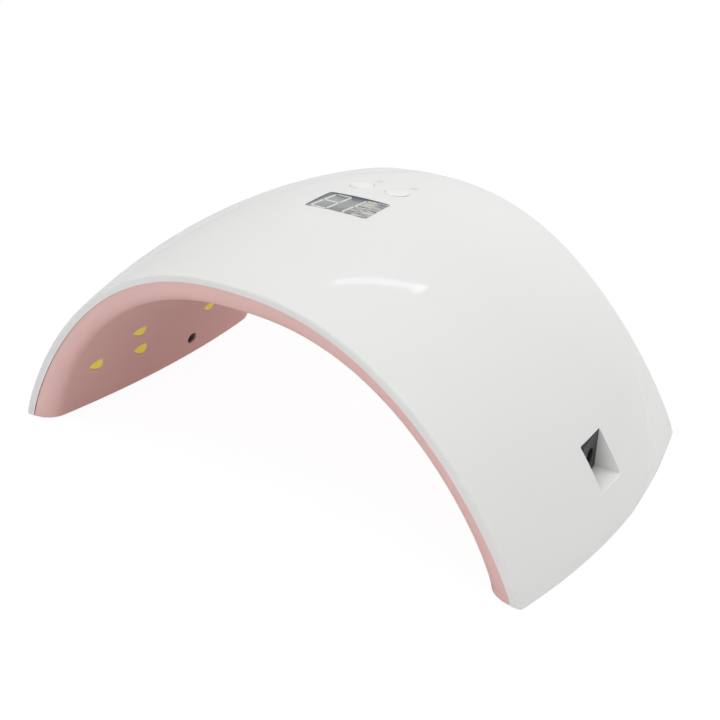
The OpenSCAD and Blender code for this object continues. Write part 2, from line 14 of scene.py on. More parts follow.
import bmesh
import bpy
import numpy as np
from mathutils import Matrix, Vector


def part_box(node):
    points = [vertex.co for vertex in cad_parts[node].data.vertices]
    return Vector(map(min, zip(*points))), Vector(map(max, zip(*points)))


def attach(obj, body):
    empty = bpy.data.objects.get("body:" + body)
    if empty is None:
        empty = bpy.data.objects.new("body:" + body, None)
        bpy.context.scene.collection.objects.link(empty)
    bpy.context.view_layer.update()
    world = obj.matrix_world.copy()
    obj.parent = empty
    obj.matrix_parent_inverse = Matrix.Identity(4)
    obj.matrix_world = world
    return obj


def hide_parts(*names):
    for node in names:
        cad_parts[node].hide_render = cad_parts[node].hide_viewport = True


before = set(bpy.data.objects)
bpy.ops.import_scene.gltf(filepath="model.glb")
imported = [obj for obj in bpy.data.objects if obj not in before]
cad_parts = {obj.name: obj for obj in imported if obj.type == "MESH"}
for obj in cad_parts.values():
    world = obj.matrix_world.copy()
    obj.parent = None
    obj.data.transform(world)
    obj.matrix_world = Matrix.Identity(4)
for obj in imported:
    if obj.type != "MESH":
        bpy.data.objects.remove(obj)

log = logging.getLogger("nail_lamp")
MM = 0.001
# Points nearer than this, in metres, are one.
MERGE = 1e-7
# The button's flange stays below the inner face at its farthest corner, in millimetres.
FLANGE_REACH = 5.3
FLANGE_GAP = 0.3
Array = np.ndarray
Color = Tuple[float, float, float]
Surface = Callable[[Array, Array, Array], Array]
Piece = bpy.types.Object
NodeTree = bpy.types.NodeTree


def srgb(r: float, g: float, b: float) -> Color:
    """Turns a screen colour of 0 to 255 into linear light: ((c + 0.055) / 1.055) ** 2.4, or c / 12.92.

    Args:
        r: Red.
        g: Green.
        b: Blue.

    Returns:
        The linear colour.
    """
    c = np.array([r, g, b]) / 255.0
    low, high = c / 12.92, ((c + 0.055) / 1.055) ** 2.4
    return tuple(float(v) for v in np.where(c <= 0.04045, low, high))


def unit(v: Array) -> Array:
    """Vectors scaled to the length 1, along the last axis."""
    return v / np.maximum(np.linalg.norm(v, axis=-1, keepdims=True), 1e-12)


def ease(a: float, b: float, x: Array) -> Array:
    """Smooth step: w = clip((x - a) / (b - a), 0, 1), then w * w * (3 - 2 * w)."""
    w = np.clip((x - a) / (b - a), 0, 1)
    return w * w * (3 - 2 * w)


@dataclass(frozen=True)
class ArchForm:
    """The curves that the shell and the reflector share, in millimetres.

    d is the distance behind the front edge and t the place on the arch, from -1 at the left foot to 1 at
    the right. The arch is arch(t) = (1 - |t| ** p) ** q.
    """

    front_span: float = 205.0
    front_height: float = 80.0
    crown_depth: float = 130.0
    foot_depth: float = 118.0
    side_bulge: float = 12.4
    widest_at: float = 75.0
    crown_rise: float = 4.5
    highest_at: float = 55.0
    crown_wall: float = 2.4
    foot_wall: float = 3.5
    edge: float = 0.7
    rim_p: float = 2.3
    rim_q: float = 0.86
    throat_p: float = 2.6
    throat_q: float = 0.64
    flank_room: float = 23.0
    crown_room: float = 21.8
    throat_at: float = 88.0
    throat_flare: float = 12.0
    liner_wall: float = 2.0
    liner_gap: float = 0.2
    pad_step: float = 0.6
    rim_gap: float = 0.08
    wing_depth: float = 0.5
    wing_fade: float = 5.0
    wing_start: Tuple[float, float] = (62.5, 67.0)
    wing_end: Tuple[float, float] = (100.0, 121.0)
    crease_at: float = 62.0
    crease_z: float = 2.3
    crease_rise: float = 0.0135

    def arch(self, t: Array, p: Array, q: Array) -> Array:
        """Share of the height at the place t: (1 - |t| ** p) ** q."""
        return np.maximum(0.0, 1.0 - np.abs(t) ** p) ** q

    def rim(self, t: Array) -> Array:
        """The arch with the rim's exponents."""
        return self.arch(t, self.rim_p, self.rim_q)

    def half(self, d: Array) -> Array:
        """Half width of the shell: front_span / 2 + bulge * (1 - ((d - widest) / widest) ** 2)."""
        return self.front_span / 2 + self.side_bulge * (1 - ((d - self.widest_at) / self.widest_at) ** 2)

    def top(self, d: Array) -> Array:
        """Height of the shell's crown: front_height + rise * (1 - ((d - highest) / highest) ** 2)."""
        return self.front_height + self.crown_rise * (1 - ((d - self.highest_at) / self.highest_at) ** 2)

    def rear(self, t: Array) -> Array:
        """Depth of the rear edge: foot_depth + (crown_depth - foot_depth) * arch(t) ** 3."""
        return self.foot_depth + (self.crown_depth - self.foot_depth) * self.rim(t) ** 3

    def shell_z(self, x: Array, d: Array) -> Array:
        """Height of the outer face above the point (x, d)."""
        return self.top(d) * self.rim(x / self.half(d))

    def shell_x(self, d: Array, z: Array) -> Array:
        """Half width of the outer face at the height z: half * (1 - (z / top) ** (1 / q)) ** (1 / p)."""
        share = np.clip(z / self.top(d), 0, 1) ** (1 / self.rim_q)
        return self.half(d) * np.maximum(0, 1 - share) ** (1 / self.rim_p)

    def inner_z(self, x: float, d: float) -> float:
        """Height of the shell's inner face above the point (x, d)."""
        return float((self.top(d) - self.crown_wall) * self.rim(x / (self.half(d) - self.foot_wall)))

    def wing(self, d: Array, z: Array) -> Array:
        """How far the lower rear flank steps in, below a crease that climbs towards the rear edge.

        The crease is z = crease_z + crease_rise * (d - crease_at) ** 2, and the step fades in below it.
        """
        line = self.crease_z + self.crease_rise * np.maximum(d - self.crease_at, 0) ** 2
        share = ease(0, self.wing_fade, line - z) * self.wing_depth
        return share * ease(*self.wing_start, d) * (1 - ease(*self.wing_end, d))

    def outside(self, x: Array, d: Array, z: Array) -> Array:
        """0 on the shell's outer face: (x / half) ** p + (z / top) ** (1 / q) - 1 with x = |x| + wing."""
        wide = (np.abs(x) + self.wing(d, z)) / self.half(d)
        tall = np.maximum(z, 0) / self.top(d)
        return wide**self.rim_p + tall ** (1 / self.rim_q) - 1

    def throat_half(self) -> float:
        """Half width of the narrowest section of the tunnel."""
        return self.front_span / 2 - self.flank_room

    def throat_top(self) -> float:
        """Height of the narrowest section of the tunnel."""
        return self.front_height - self.crown_room

    def flare(self, d: Array) -> Array:
        """How far the tunnel opens: throat_flare * ((d - throat_at) / throat_at) ** 2."""
        return self.throat_flare * ((d - self.throat_at) / self.throat_at) ** 2

    def tunnel_powers(self, t: Array, d: Array) -> Tuple[Array, Array]:
        """The tunnel's exponents, from the rim's to the throat's by w = 1 - (2 * d / rear - 1) ** 4."""
        w = 1 - (2 * d / self.rear(t) - 1) ** 4
        return self.rim_p + (self.throat_p - self.rim_p) * w, self.rim_q + (self.throat_q - self.rim_q) * w

    def tunnel(self, x: Array, d: Array, z: Array) -> Array:
        """0 on the tunnel's visible face: |t| ** p + (z / top) ** (1 / q) - 1 with t = x / half."""
        t = x / (self.throat_half() + self.flare(d))
        p, q = self.tunnel_powers(t, d)
        return np.abs(t) ** p + (np.maximum(z, 0) / (self.throat_top() + self.flare(d))) ** (1 / q) - 1

    def tunnel_point(self, t: float, d: float, out: float = 0.0) -> Tuple[Array, Array, Array]:
        """Point behind the tunnel's face, with the direction down the flank and the one out of the tunnel.

        Args:
            t: Place on the arch.
            d: Distance behind the front edge.
            out: Distance along the normal.

        Returns:
            The point as (x, d, z), the direction down the flank and the normal.
        """
        half, top = self.throat_half() + self.flare(d), self.throat_top() + self.flare(d)
        places = np.array([t, t - 0.001])
        p, q = self.tunnel_powers(places, d)
        x, z = places * half, top * self.arch(places, p, q)
        along = unit(np.array([x[0] - x[1], 0.0, z[0] - z[1]]))
        normal = np.array([-along[2], 0.0, along[0]])
        side = -1.0 if t < 0 else 1.0
        return np.array([x[0], d, z[0]]) + out * normal, side * along, normal

    def gradient(self, surface: Surface, v: Array) -> Array:
        """Unit normal of a surface by central differences of its function.

        Args:
            surface: Function of x, d and z that is 0 on the surface.
            v: Points as (x, d, z).

        Returns:
            The unit normals, towards growing values.
        """
        h = 0.005
        parts = []
        for axis in range(3):
            step = np.zeros(3)
            step[axis] = h
            low, high = v - step, v + step
            parts.append(surface(*high.T) - surface(*low.T))
        return unit(np.stack(parts, -1))


@dataclass(frozen=True)
class Layout:
    """Places and sizes that several pieces share, in millimetres.

    Attributes:
        window: Width, length and corner radius of the display's window.
        window_at: Distance of its middle behind the front edge.
        button_x: Place of the buttons on both sides of the middle.
        button_at: Their distance behind the front edge.
        foot_x: Place of the foot screws and pads on both sides.
        foot_at: Their distances behind the front edge.
        sensor_place: Place of the hand sensors on the arch of the tunnel.
        sensor_at: Their distance behind the front edge.
        bead_middle: Way down the flank from a bead's opening to the middle of its package.
        bead_low: Depth of the package's near face behind the tunnel's face.
    """

    window: Tuple[float, float, float] = (24.8, 17.0, 1.2)
    window_at: float = 66.6
    button_x: float = 7.4
    button_at: float = 88.3
    foot_x: float = 97.0
    foot_at: Tuple[float, float] = (24.0, 98.0)
    sensor_place: float = 0.985
    sensor_at: float = 70.0
    bead_middle: float = 1.2
    bead_low: float = 0.55

    def feet(self, z: float) -> List[Array]:
        """Points (x, d, z) of the four feet, the left ones first."""
        return [np.array([side * self.foot_x, d, z]) for side in (-1, 1) for d in self.foot_at]


FORM = ArchForm()
PLACES = Layout()
REAR = np.array([0.0, 1.0, 0.0])


def placed(v: Array) -> Array:
    """Points (x, d, z) in the lamp's frame, in metres: (x, d - crown_depth / 2, z + pad_step) / 1000."""
    return (np.asarray(v, float) + np.array([0, -FORM.crown_depth / 2, FORM.pad_step])) * MM


def lifted(v: Array) -> Array:
    """The inverse of placed: metres in the lamp's frame to (x, d, z) in millimetres."""
    return np.asarray(v, float) / MM - np.array([0, -FORM.crown_depth / 2, FORM.pad_step])


def grid_quads(rows: int, cols: int, ring_rows: bool = False, ring_cols: bool = False) -> Array:
    """Quads of a grid of points, numbered row by row.

    Args:
        rows: Number of rows.
        cols: Number of columns.
        ring_rows: The last row joins the first.
        ring_cols: The last column joins the first.

    Returns:
        The quads as an array of four indices each.
    """
    j, i = np.meshgrid(np.arange(rows - (not ring_rows)), np.arange(cols - (not ring_cols)), indexing="ij")
    k, n = (j + 1) % rows, (i + 1) % cols
    return np.stack([j * cols + i, j * cols + n, k * cols + n, k * cols + i], -1).reshape(-1, 4)


def put(name: str, data: bpy.types.ID) -> Piece:
    """Makes an object of a mesh, curve, camera or light and links it to the scene."""
    obj = bpy.data.objects.new(name, data)
    bpy.context.scene.collection.objects.link(obj)
    return obj


def aim(obj: Piece, right: Array, up: Array, back: Array, at: Sequence[float]) -> None:
    """Sets an object's axes and its place in metres. A camera or a light faces against back."""
    obj.matrix_world = Matrix(np.vstack([np.column_stack([right, up, back, at]), [0, 0, 0, 1]]).tolist())


def shade(mesh: bpy.types.Mesh, sharp: float) -> None:
    """Shades a mesh smooth between the edges that bend by more than an angle in degrees."""
    mesh.polygons.foreach_set("use_smooth", np.ones(len(mesh.polygons), bool))
    mesh.set_sharp_from_angle(angle=math.radians(sharp))


def new_object(name: str, points: Array, faces: Sequence[Sequence[int]], sharp: float = 35.0) -> Piece:
    """Makes a mesh object with outward faces and smooth shading between its sharp edges.

    Args:
        name: Name of the object.
        points: Points in metres.
        faces: Point indices of each face.
        sharp: Angle in degrees above which an edge stays sharp.

    Returns:
        The object, linked to the scene.
    """
    mesh = bpy.data.meshes.new(name)
    mesh.from_pydata(np.asarray(points, float).reshape(-1, 3).tolist(), [], [list(f) for f in faces])
    work = bmesh.new()
    work.from_mesh(mesh)
    bmesh.ops.remove_doubles(work, verts=work.verts, dist=MERGE)
    bmesh.ops.recalc_face_normals(work, faces=work.faces)
    work.to_mesh(mesh)
    work.free()
    shade(mesh, sharp)
    mesh.update()
    return put(name, mesh)


def ringed(name: str, rings: Sequence[Array], sharp: float = 35.0, ends: Sequence[Array] = ()) -> Piece:
    """Makes a closed solid of rings that each have the same number of points.

    Args:
        name: Name of the object.
        rings: Points (x, d, z) of each ring, from one end to the other.
        sharp: Angle in degrees above which an edge stays sharp.
        ends: Middles of the two ends, where triangles close them instead of one face each.

    Returns:
        The closed solid.
    """
    count, n = len(rings), len(rings[0])
    faces = grid_quads(count, n, ring_cols=True).tolist()
    low, last = count * n, (count - 1) * n
    points = np.concatenate(rings)
    if len(ends):
        faces += [[low, (i + 1) % n, i] for i in range(n)]
        faces += [[low + 1, last + i, last + (i + 1) % n] for i in range(n)]
        points = np.concatenate([points, ends])
    else:
        faces += [list(range(n - 1, -1, -1)), list(range(last, low))]
    return new_object(name, placed(points), faces, sharp)


def walled(name: str, first: Array, second: Array, sharp: float = 35.0) -> Piece:
    """Makes a closed solid of two equal grids of points and a wall round their edge.

    Args:
        name: Name of the object.
        first: Grid of points (x, d, z).
        second: The grid on the other side.
        sharp: Angle in degrees above which an edge stays sharp.

    Returns:
        The closed solid.
    """
    rows, cols = first.shape[:2]
    low = rows * cols
    quads = grid_quads(rows, cols)
    edge = [*range(cols), *range(2 * cols - 1, low, cols), *range(low - 2, low - cols - 1, -1)]
    edge += [*range(low - 2 * cols, 0, -cols)]
    faces = quads.tolist() + (quads[:, ::-1] + low).tolist()
    faces += [[a, b, b + low, a + low] for a, b in zip(edge, edge[1:] + edge[:1])]
    points = np.concatenate([first.reshape(-1, 3), second.reshape(-1, 3)])
    return new_object(name, placed(points), faces, sharp)


def joined(name: str, parts: Sequence[Piece], sharp: float = 35.0) -> Piece:
    """Joins mesh objects that don't touch into one and removes the single ones.

    Args:
        name: Name of the new object.
        parts: Objects to join.
        sharp: Angle in degrees above which an edge stays sharp.

    Returns:
        The joined object.
    """
    work = bmesh.new()
    for part in parts:
        work.from_mesh(part.data)
        bpy.data.objects.remove(part)
    mesh = bpy.data.meshes.new(name)
    work.to_mesh(mesh)
    work.free()
    shade(mesh, sharp)
    return put(name, mesh)


def combine(obj: Piece, other: Piece, how: str, sharp: float = 35.0) -> None:
    """Adds a solid to another or cuts it out, and removes the second one.

    Args:
        obj: The solid that stays.
        other: The solid that is added or cut out.
        how: UNION or DIFFERENCE.
        sharp: Angle in degrees above which an edge stays sharp.
    """
    modifier = obj.modifiers.new("combine", "BOOLEAN")
    modifier.object, modifier.operation, modifier.solver = other, how, "EXACT"
    shown = obj.evaluated_get(bpy.context.evaluated_depsgraph_get())
    mesh = bpy.data.meshes.new_from_object(shown)
    obj.modifiers.clear()
    old, obj.data = obj.data, mesh
    bpy.data.meshes.remove(old)
    bpy.data.objects.remove(other)
    shade(mesh, sharp)


def pulled(items: Any, name: str, width: int = 0) -> Array:
    """Reads a property of all elements of a mesh.

    Args:
        items: Vertices, loops or polygons.
        name: Name of the property.
        width: Numbers in each value, or 0 where it is one whole number.

    Returns:
        The values, one row for each element.
    """
    values = np.zeros(len(items) * max(width, 1), float if width else np.int32)
    items.foreach_get(name, values)
    return values.reshape(-1, width) if width else values


def follow_surface(obj: Piece, surface: Surface, sign: float, reach: float = 0.03) -> None:
    """Gives the faces that lie on a curved surface that surface's own normals, so that gloss runs clean.

    Args:
        obj: The mesh object.
        surface: Function of x, d and z that is 0 on the surface.
        sign: 1 where the faces look towards growing values, or -1.
        reach: Distance in millimetres within which a corner counts as on the surface.
    """
    mesh, step, facing = obj.data, 0.01, 0.96
    spots = lifted(pulled(mesh.vertices, "co", 3))
    slope = FORM.gradient(surface, spots)
    rate = (surface(*(spots + step * slope).T) - surface(*(spots - step * slope).T)) / (2 * step)
    away = np.abs(surface(*spots.T)) / np.maximum(rate, 1e-9)
    corner, counts = pulled(mesh.loops, "vertex_index"), pulled(mesh.polygons, "loop_total")
    owner = np.repeat(np.arange(len(counts)), counts)
    normal = sign * slope[corner]
    shown = (pulled(mesh.polygons, "normal", 3)[owner] * normal).sum(-1)
    whole = np.bincount(owner, (away[corner] < reach) & (shown > facing)) == counts
    normal[~whole[owner]] = 0
    mesh.normals_split_custom_set(normal.astype(np.float32))


def lathe(
    name: str,
    profile: Sequence[Tuple[float, float]],
    base: Array,
    axis: Sequence[float] = (0.0, 0.0, 1.0),
    sides: int = 48,
) -> Piece:
    """Turns a profile of (radius, height) round an axis and closes both ends.

    Each ring is base + height * axis + radius * (cos a * u + sin a * v).

    Args:
        name: Name of the object.
        profile: Radius and height of each ring, in millimetres.
        base: Foot of the axis as (x, d, z).
        axis: Direction of the axis.
        sides: Points round each ring.

    Returns:
        The closed solid.
    """
    axis = unit(np.asarray(axis, float))
    u = unit(np.cross(axis, REAR if abs(axis[1]) < 0.9 else [1.0, 0.0, 0.0]))
    v = np.cross(axis, u)
    a = np.linspace(0, 2 * np.pi, sides, endpoint=False)
    ring = np.cos(a)[:, None] * u + np.sin(a)[:, None] * v
    pr = np.array(profile, float)
    pts = base + pr[:, 1][:, None, None] * axis + pr[:, 0][:, None, None] * ring[None]
    return ringed(name, pts, ends=[base + pr[0, 1] * axis, base + pr[-1, 1] * axis])


def rounded_rectangle(w: float, h: float, r: float, corner: int = 8, edge: int = 14) -> Array:
    """Outline of a rounded rectangle about the origin, counter-clockwise, with its edges divided.

    Args:
        w: Width.
        h: Height.
        r: Corner radius.
        corner: Steps round each corner.
        edge: Steps along each edge.

    Returns:
        The points.
    """
    parts = []
    for k, (sx, sy) in enumerate([(1, 1), (-1, 1), (-1, -1), (1, -1)]):
        a = np.radians(90 * k) + np.linspace(0, np.pi / 2, corner + 1)
        centre = np.array([sx * (w / 2 - r), sy * (h / 2 - r)])
        parts.append(centre + r * np.stack([np.cos(a), np.sin(a)], -1))
    closed = []
    for k in range(4):
        closed.append(parts[k])
        s = np.linspace(0, 1, edge + 1)[1:-1, None]
        closed.append(parts[k][-1] * (1 - s) + parts[(k + 1) % 4][0] * s)
    return np.concatenate(closed)


def circle(r: float, sides: int = 96) -> Array:
    """Outline of a circle about the origin."""
    a = np.linspace(0, 2 * np.pi, sides, endpoint=False)
    return r * np.stack([np.cos(a), np.sin(a)], -1)


def outward(outline: Array) -> Array:
    """Unit normals of a counter-clockwise outline: the chord of each point's neighbours, turned by -90."""
    chord = np.roll(outline, -1, 0) - np.roll(outline, 1, 0)
    return unit(np.stack([chord[:, 1], -chord[:, 0]], -1))


@dataclass(frozen=True)
class Block:
    """A block with one outline along its whole length.

    Attributes:
        outline: Closed outline in the plane of u and v, counter-clockwise for the viewer.
        origin: Point (x, d, z) that the outline is measured from.
        u: First direction of the plane.
        v: Second direction of the plane.
        out: Direction of the block. For an opening it leads out of the material, towards the viewer.
    """

    outline: Array
    origin: Array
    u: Array
    v: Array
    out: Array

    def spread(self, offset: float) -> Array:
        """Points of the outline in space, moved outwards by an offset."""
        flat = self.outline + offset * outward(self.outline)
        return self.origin + flat[:, :1] * self.u + flat[:, 1:] * self.v


@dataclass(frozen=True)
class Opening(Block):
    """A cutter for an opening through a curved wall, whose edge is rounded along that wall's own surface.

    Attributes:
        surface: Function that is 0 on the wall's visible face.
        depth: How far the cutter goes behind the origin.
        fillet: Radius of the rounded edge.
        rise: How far the cutter stands out of the face.
    """

    surface: Surface
    depth: float
    fillet: float = 0.25
    rise: float = 1.5

    def height(self, points: Array) -> Array:
        """Distance along out from each point to the surface, by eight secant steps.

        Args:
            points: Points (x, d, z).

        Returns:
            The distances.
        """
        h = np.zeros(len(points))
        step = 0.02
        for _ in range(8):
            here = points + h[:, None] * self.out
            value = self.surface(*here.T)
            slope = (self.surface(*(here + step * self.out).T) - value) / step
            h = h - np.clip(value / np.where(np.abs(slope) < 1e-9, 1e-9, slope), -2, 2)
        return h

    def solid(self, name: str) -> Piece:
        """Builds the cutter: rings at (r * (1 - cos a)) outside the outline and r * sin a above r deep.

        Args:
            name: Name of the object.

        Returns:
            The closed cutter.
        """
        r = self.fillet
        a = np.radians(np.linspace(0, 72, 6))
        rings = [(0.0, None), *[(r * (1 - math.cos(k)), -r + r * math.sin(k)) for k in a]]
        lean = (rings[-1][0] - rings[-2][0]) / max(rings[-1][1] - rings[-2][1], 1e-6)
        rings.append((rings[-1][0] + 0.1 * lean, rings[-1][1] + 0.1))
        rings.append((rings[-1][0], self.rise))
        pts = []
        for offset, level in rings:
            spots = self.spread(offset)
            h = np.full(len(spots), -self.depth) if level is None else self.height(spots) + level
            pts.append(spots + h[:, None] * self.out)
        return ringed(name, pts, ends=[pts[0].mean(0), pts[-1].mean(0)])


def wire(tree: NodeTree, node: bpy.types.Node, inputs: Dict[Union[int, str], Any]) -> None:
    """Fills the inputs of a node.

    Args:
        tree: Node tree of a material or world.
        node: The node.
        inputs: Value or another node's output for each input. An output is linked.
    """
    for key, value in inputs.items():
        if isinstance(value, bpy.types.NodeSocket):
            tree.links.new(value, node.inputs[key])
        else:
            node.inputs[key].default_value = value


def add_node(tree: NodeTree, kind: str, inputs: Dict[Union[int, str], Any], **settings: Any) -> Any:
    """Adds a shader node.

    Args:
        tree: Node tree of a material or world.
        kind: Type of the node, without the word that all types begin with.
        inputs: Value or another node's output for each input.
        settings: Properties of the node.

    Returns:
        The node's outputs.
    """
    node = tree.nodes.new(f"ShaderNode{kind}")
    for key, value in settings.items():
        setattr(node, key, value)
    wire(tree, node, inputs)
    return node.outputs


def reckon(tree: NodeTree, operation: str, *values: Any) -> bpy.types.NodeSocket:
    """Adds a math node on numbers or other nodes' outputs and returns its result."""
    return add_node(tree, "Math", dict(enumerate(values)), operation=operation)[0]


def node_tree(made: Any) -> NodeTree:
    """Switches a new material or world to nodes and returns its node tree."""
    made.use_nodes = True
    return made.node_tree


class Grain(Enum):
    """Patterns that a finish can carry in its colour, roughness and relief."""

    MOULDED = "moulded"
    BRUSHED = "brushed"
    MASK = "mask"
    GEL = "gel"
    FILM = "film"


@dataclass(frozen=True)
class Finish:
    """A procedural surface finish on Object coordinates.

    Attributes:
        name: Name of the material.
        color: Main colour, linear.
        second: Colour that the pattern mixes in, linear.
        grain: Kind of pattern.
        scale: Fineness of the pattern, per metre.
        mix: Share of the second colour where the pattern is full.
        roughness: Middle of the roughness.
        spread: How far the roughness varies.
        relief: Height of the bump in millimetres.
        metallic: 0 for plastic, 1 for metal.
        coat: Weight of the clear coat.
        alpha: Opacity.
        ior: Index of refraction.
        glow: Share of the colour that the surface gives off by itself, a painted glow on a part that is no
            lamp.
    """

    name: str
    color: Color
    second: Color
    grain: Grain = Grain.MOULDED
    scale: float = 900.0
    mix: float = 0.5
    roughness: float = 0.35
    spread: float = 0.06
    relief: float = 0.01
    metallic: float = 0.0
    coat: float = 0.0
    alpha: float = 1.0
    ior: float = 1.47
    glow: float = 0.0

    def material(self) -> bpy.types.Material:
        """Makes the material, or returns it where it is made already.

        Returns:
            The material.
        """
        if self.name in bpy.data.materials:
            return bpy.data.materials[self.name]
        made = bpy.data.materials.new(self.name)
        tree = node_tree(made)
        values = {
            "Metallic": self.metallic,
            "Coat Weight": self.coat,
            "Coat Roughness": 0.04,
            "Alpha": self.alpha,
            "IOR": self.ior,
            "Emission Strength": self.glow,
            "Emission Color": (*self.color, 1.0),
        }
        wire(tree, tree.nodes["Principled BSDF"], {**values, **self.pattern(tree)})
        return made

    def pattern(self, tree: NodeTree) -> Dict[str, bpy.types.NodeSocket]:
        """Adds the nodes that vary the colour, roughness and relief.

        Args:
            tree: Node tree of the material.

        Returns:
            The output for each of the shader's inputs that the pattern feeds.
        """
        film = self.grain is Grain.FILM
        stretch = {Grain.BRUSHED: (1.0, 0.04, 1.0), Grain.MASK: (1.0, 0.3, 1.0), Grain.FILM: (0.5, 2.6, 1.0)}
        place = add_node(tree, "Mapping", {
            "Vector": add_node(tree, "TexCoord", {})["Object"],
            "Scale": stretch.get(self.grain, (1.0, 1.0, 1.0)),
            "Rotation": (0, 0, math.radians(24) if film else 0),
        })["Vector"]
        fine = add_node(tree, "TexNoise", {
            "Vector": place, "Scale": self.scale, "Detail": 3.0, "Roughness": 0.55,
        })
        broad = add_node(tree, "TexNoise", {"Vector": place, "Scale": self.scale / 24, "Detail": 4.0})
        low, high = (0.4, 0.6) if film else (0.3, 0.7)
        share = add_node(tree, "MapRange", {
            "Value": broad["Fac"], "From Min": low, "From Max": high, "To Max": self.mix,
        })["Result"]
        tint = add_node(tree, "Mix", {
            "Factor": share, "A": (*self.color, 1.0), "B": (*self.second, 1.0),
        }, data_type="RGBA")["Result"]
        polish = add_node(tree, "MapRange", {
            "Value": fine["Fac"], "From Min": 0.3, "From Max": 0.7,
            "To Min": max(0.02, self.roughness - self.spread), "To Max": self.roughness + self.spread,
        })["Result"]
        feeds = {"Base Color": tint, "Roughness": polish}
        if self.relief > 0:
            bump = {"Height": fine["Fac"], "Distance": self.relief * MM, "Strength": 0.6}
            feeds["Normal"] = add_node(tree, "Bump", bump)["Normal"]
        return feeds


SHELL_WHITE = Finish(
    "shell_gloss_white", srgb(232, 232, 231), srgb(228, 228, 227), scale=420, roughness=0.05, spread=0.01,
    relief=0.0008, coat=0.25, ior=1.49,
)
REFLECTOR_PINK = Finish(
    "reflector_rose_satin", srgb(232, 189, 184), srgb(227, 182, 177), scale=700, mix=0.4, roughness=0.4,
    spread=0.03, relief=0.002, ior=1.75,
)
# Grey lining on the window's walls: painted shade for the shallow recess round the display.
WINDOW_SHADE_LINING = Finish(
    "window_lining_painted_shade", srgb(126, 127, 129), srgb(112, 113, 115), scale=1200, roughness=0.4, relief=0.004,
)
PANEL_GREY = Finish(
    "display_panel_grey", srgb(130, 133, 130), srgb(146, 150, 155), scale=3800, mix=1.0, roughness=0.2,
    spread=0.04, relief=0.001,
)
FILM_GREY = Finish(
    "display_film_crumpled", srgb(216, 216, 203), srgb(116, 116, 126), Grain.FILM, 8500, 1.0, 0.25, 0.1,
    relief=0.004, alpha=0.92,
)
SEGMENT_PALE = Finish(
    "digit_segment_pale", srgb(216, 220, 209), srgb(208, 212, 201), scale=1400, mix=0.4, relief=0.002,
)
BUTTON_WHITE = Finish(
    "button_white", srgb(238, 238, 237), srgb(233, 233, 231), scale=700, roughness=0.12, spread=0.03,
    relief=0.0015, coat=0.2,
)
PACKAGE_WHITE = Finish(
    "bead_package_white", srgb(236, 236, 228), srgb(224, 224, 214), scale=2200, roughness=0.4, relief=0.004,
)
# The gel glows a little by itself: a painted glow, since the beads are not lit.
GEL_YELLOW_PAINTED_GLOW = Finish(
    "bead_gel_yellow_painted_glow", srgb(244, 228, 70), srgb(246, 234, 128), Grain.GEL, 2600, 0.6, 0.3, 0.05, 0.005,
    glow=0.14,
)
SENSOR_BLACK = Finish(
    "sensor_dark", srgb(30, 26, 28), srgb(44, 34, 38), scale=1400, roughness=0.3, relief=0.0, ior=1.3,
)
PAD_RUBBER = Finish(
    "pad_rubber", srgb(72, 72, 74), srgb(56, 56, 58), scale=2600, mix=0.6, roughness=0.75, relief=0.02,
)
PRINT_GREY = Finish(
    "print_grey", srgb(150, 150, 152), srgb(138, 138, 140), scale=2600, roughness=0.4, relief=0.0,
)
# The parts inside keep their CAD shapes, and each finish here dresses the nodes after it.
INNER_FINISHES = (
    (Finish("digit_module_grey", srgb(120, 123, 122), srgb(108, 111, 112), scale=800, roughness=0.45,
            relief=0.004),
     "display_module"),
    (Finish("switch_grey", srgb(74, 75, 80), srgb(58, 59, 64), scale=1500, roughness=0.45, relief=0.006),
     "switch_left", "switch_right"),
    (Finish("plunger_black", srgb(34, 34, 36), srgb(24, 24, 26), scale=1500, roughness=0.5, relief=0.006),
     "plunger_left", "plunger_right"),
    (Finish("board_green", srgb(24, 96, 58), srgb(52, 132, 84), Grain.MASK, 520, 0.65, 0.3, 0.08, 0.006,
            coat=0.15),
     "control_board"),
    (Finish("chip_black", srgb(40, 40, 42), srgb(28, 28, 30), scale=3000, roughness=0.6, relief=0.008),
     "controller_chip"),
    (Finish("capacitor_blue", srgb(44, 56, 110), srgb(34, 44, 92), Grain.BRUSHED, 900, roughness=0.3),
     "smoothing_capacitor"),
    (Finish("inductor_grey", srgb(84, 84, 88), srgb(62, 62, 66), scale=1800, roughness=0.6, relief=0.01),
     "power_inductor"),
    (Finish("connector_cream", srgb(236, 230, 208), srgb(226, 219, 196), scale=1200, roughness=0.4),
     "board_connector"),
    (Finish("jack_dark", srgb(44, 44, 47), srgb(34, 34, 37), scale=1600, mix=0.6, roughness=0.5,
            relief=0.008),
     "jack_body"),
    (Finish("contact_nickel", srgb(200, 196, 186), srgb(170, 165, 150), Grain.BRUSHED, 2600, 0.5, 0.28, 0.08,
            relief=0.003, metallic=1.0),
     "jack_pin"),
    (Finish("lead_red", srgb(176, 34, 28), srgb(150, 24, 20), roughness=0.42, relief=0.006),
     "jack_leads"),
    (Finish("bead_board_white", srgb(232, 232, 226), srgb(214, 214, 206), Grain.MASK, 640, 0.5, 0.35, 0.06,
            relief=0.004),
     "led_board_left", "led_board_right", "led_board_top"),
    (Finish("ribbon_grey", srgb(196, 197, 200), srgb(150, 152, 158), Grain.BRUSHED, 1500, 0.7, 0.4),
     "ribbon_left", "ribbon_right"),
    (Finish("screw_steel", srgb(186, 187, 190), srgb(150, 151, 155), Grain.BRUSHED, 2400, 0.5, 0.3, 0.08,
            relief=0.003, metallic=1.0),
     "board_screws", "foot_screws"),
)


def dress(obj: Piece, finish: Finish) -> None:
    """Gives a piece one finish over all of its faces."""
    obj.data.materials.clear()
    obj.data.materials.append(finish.material())


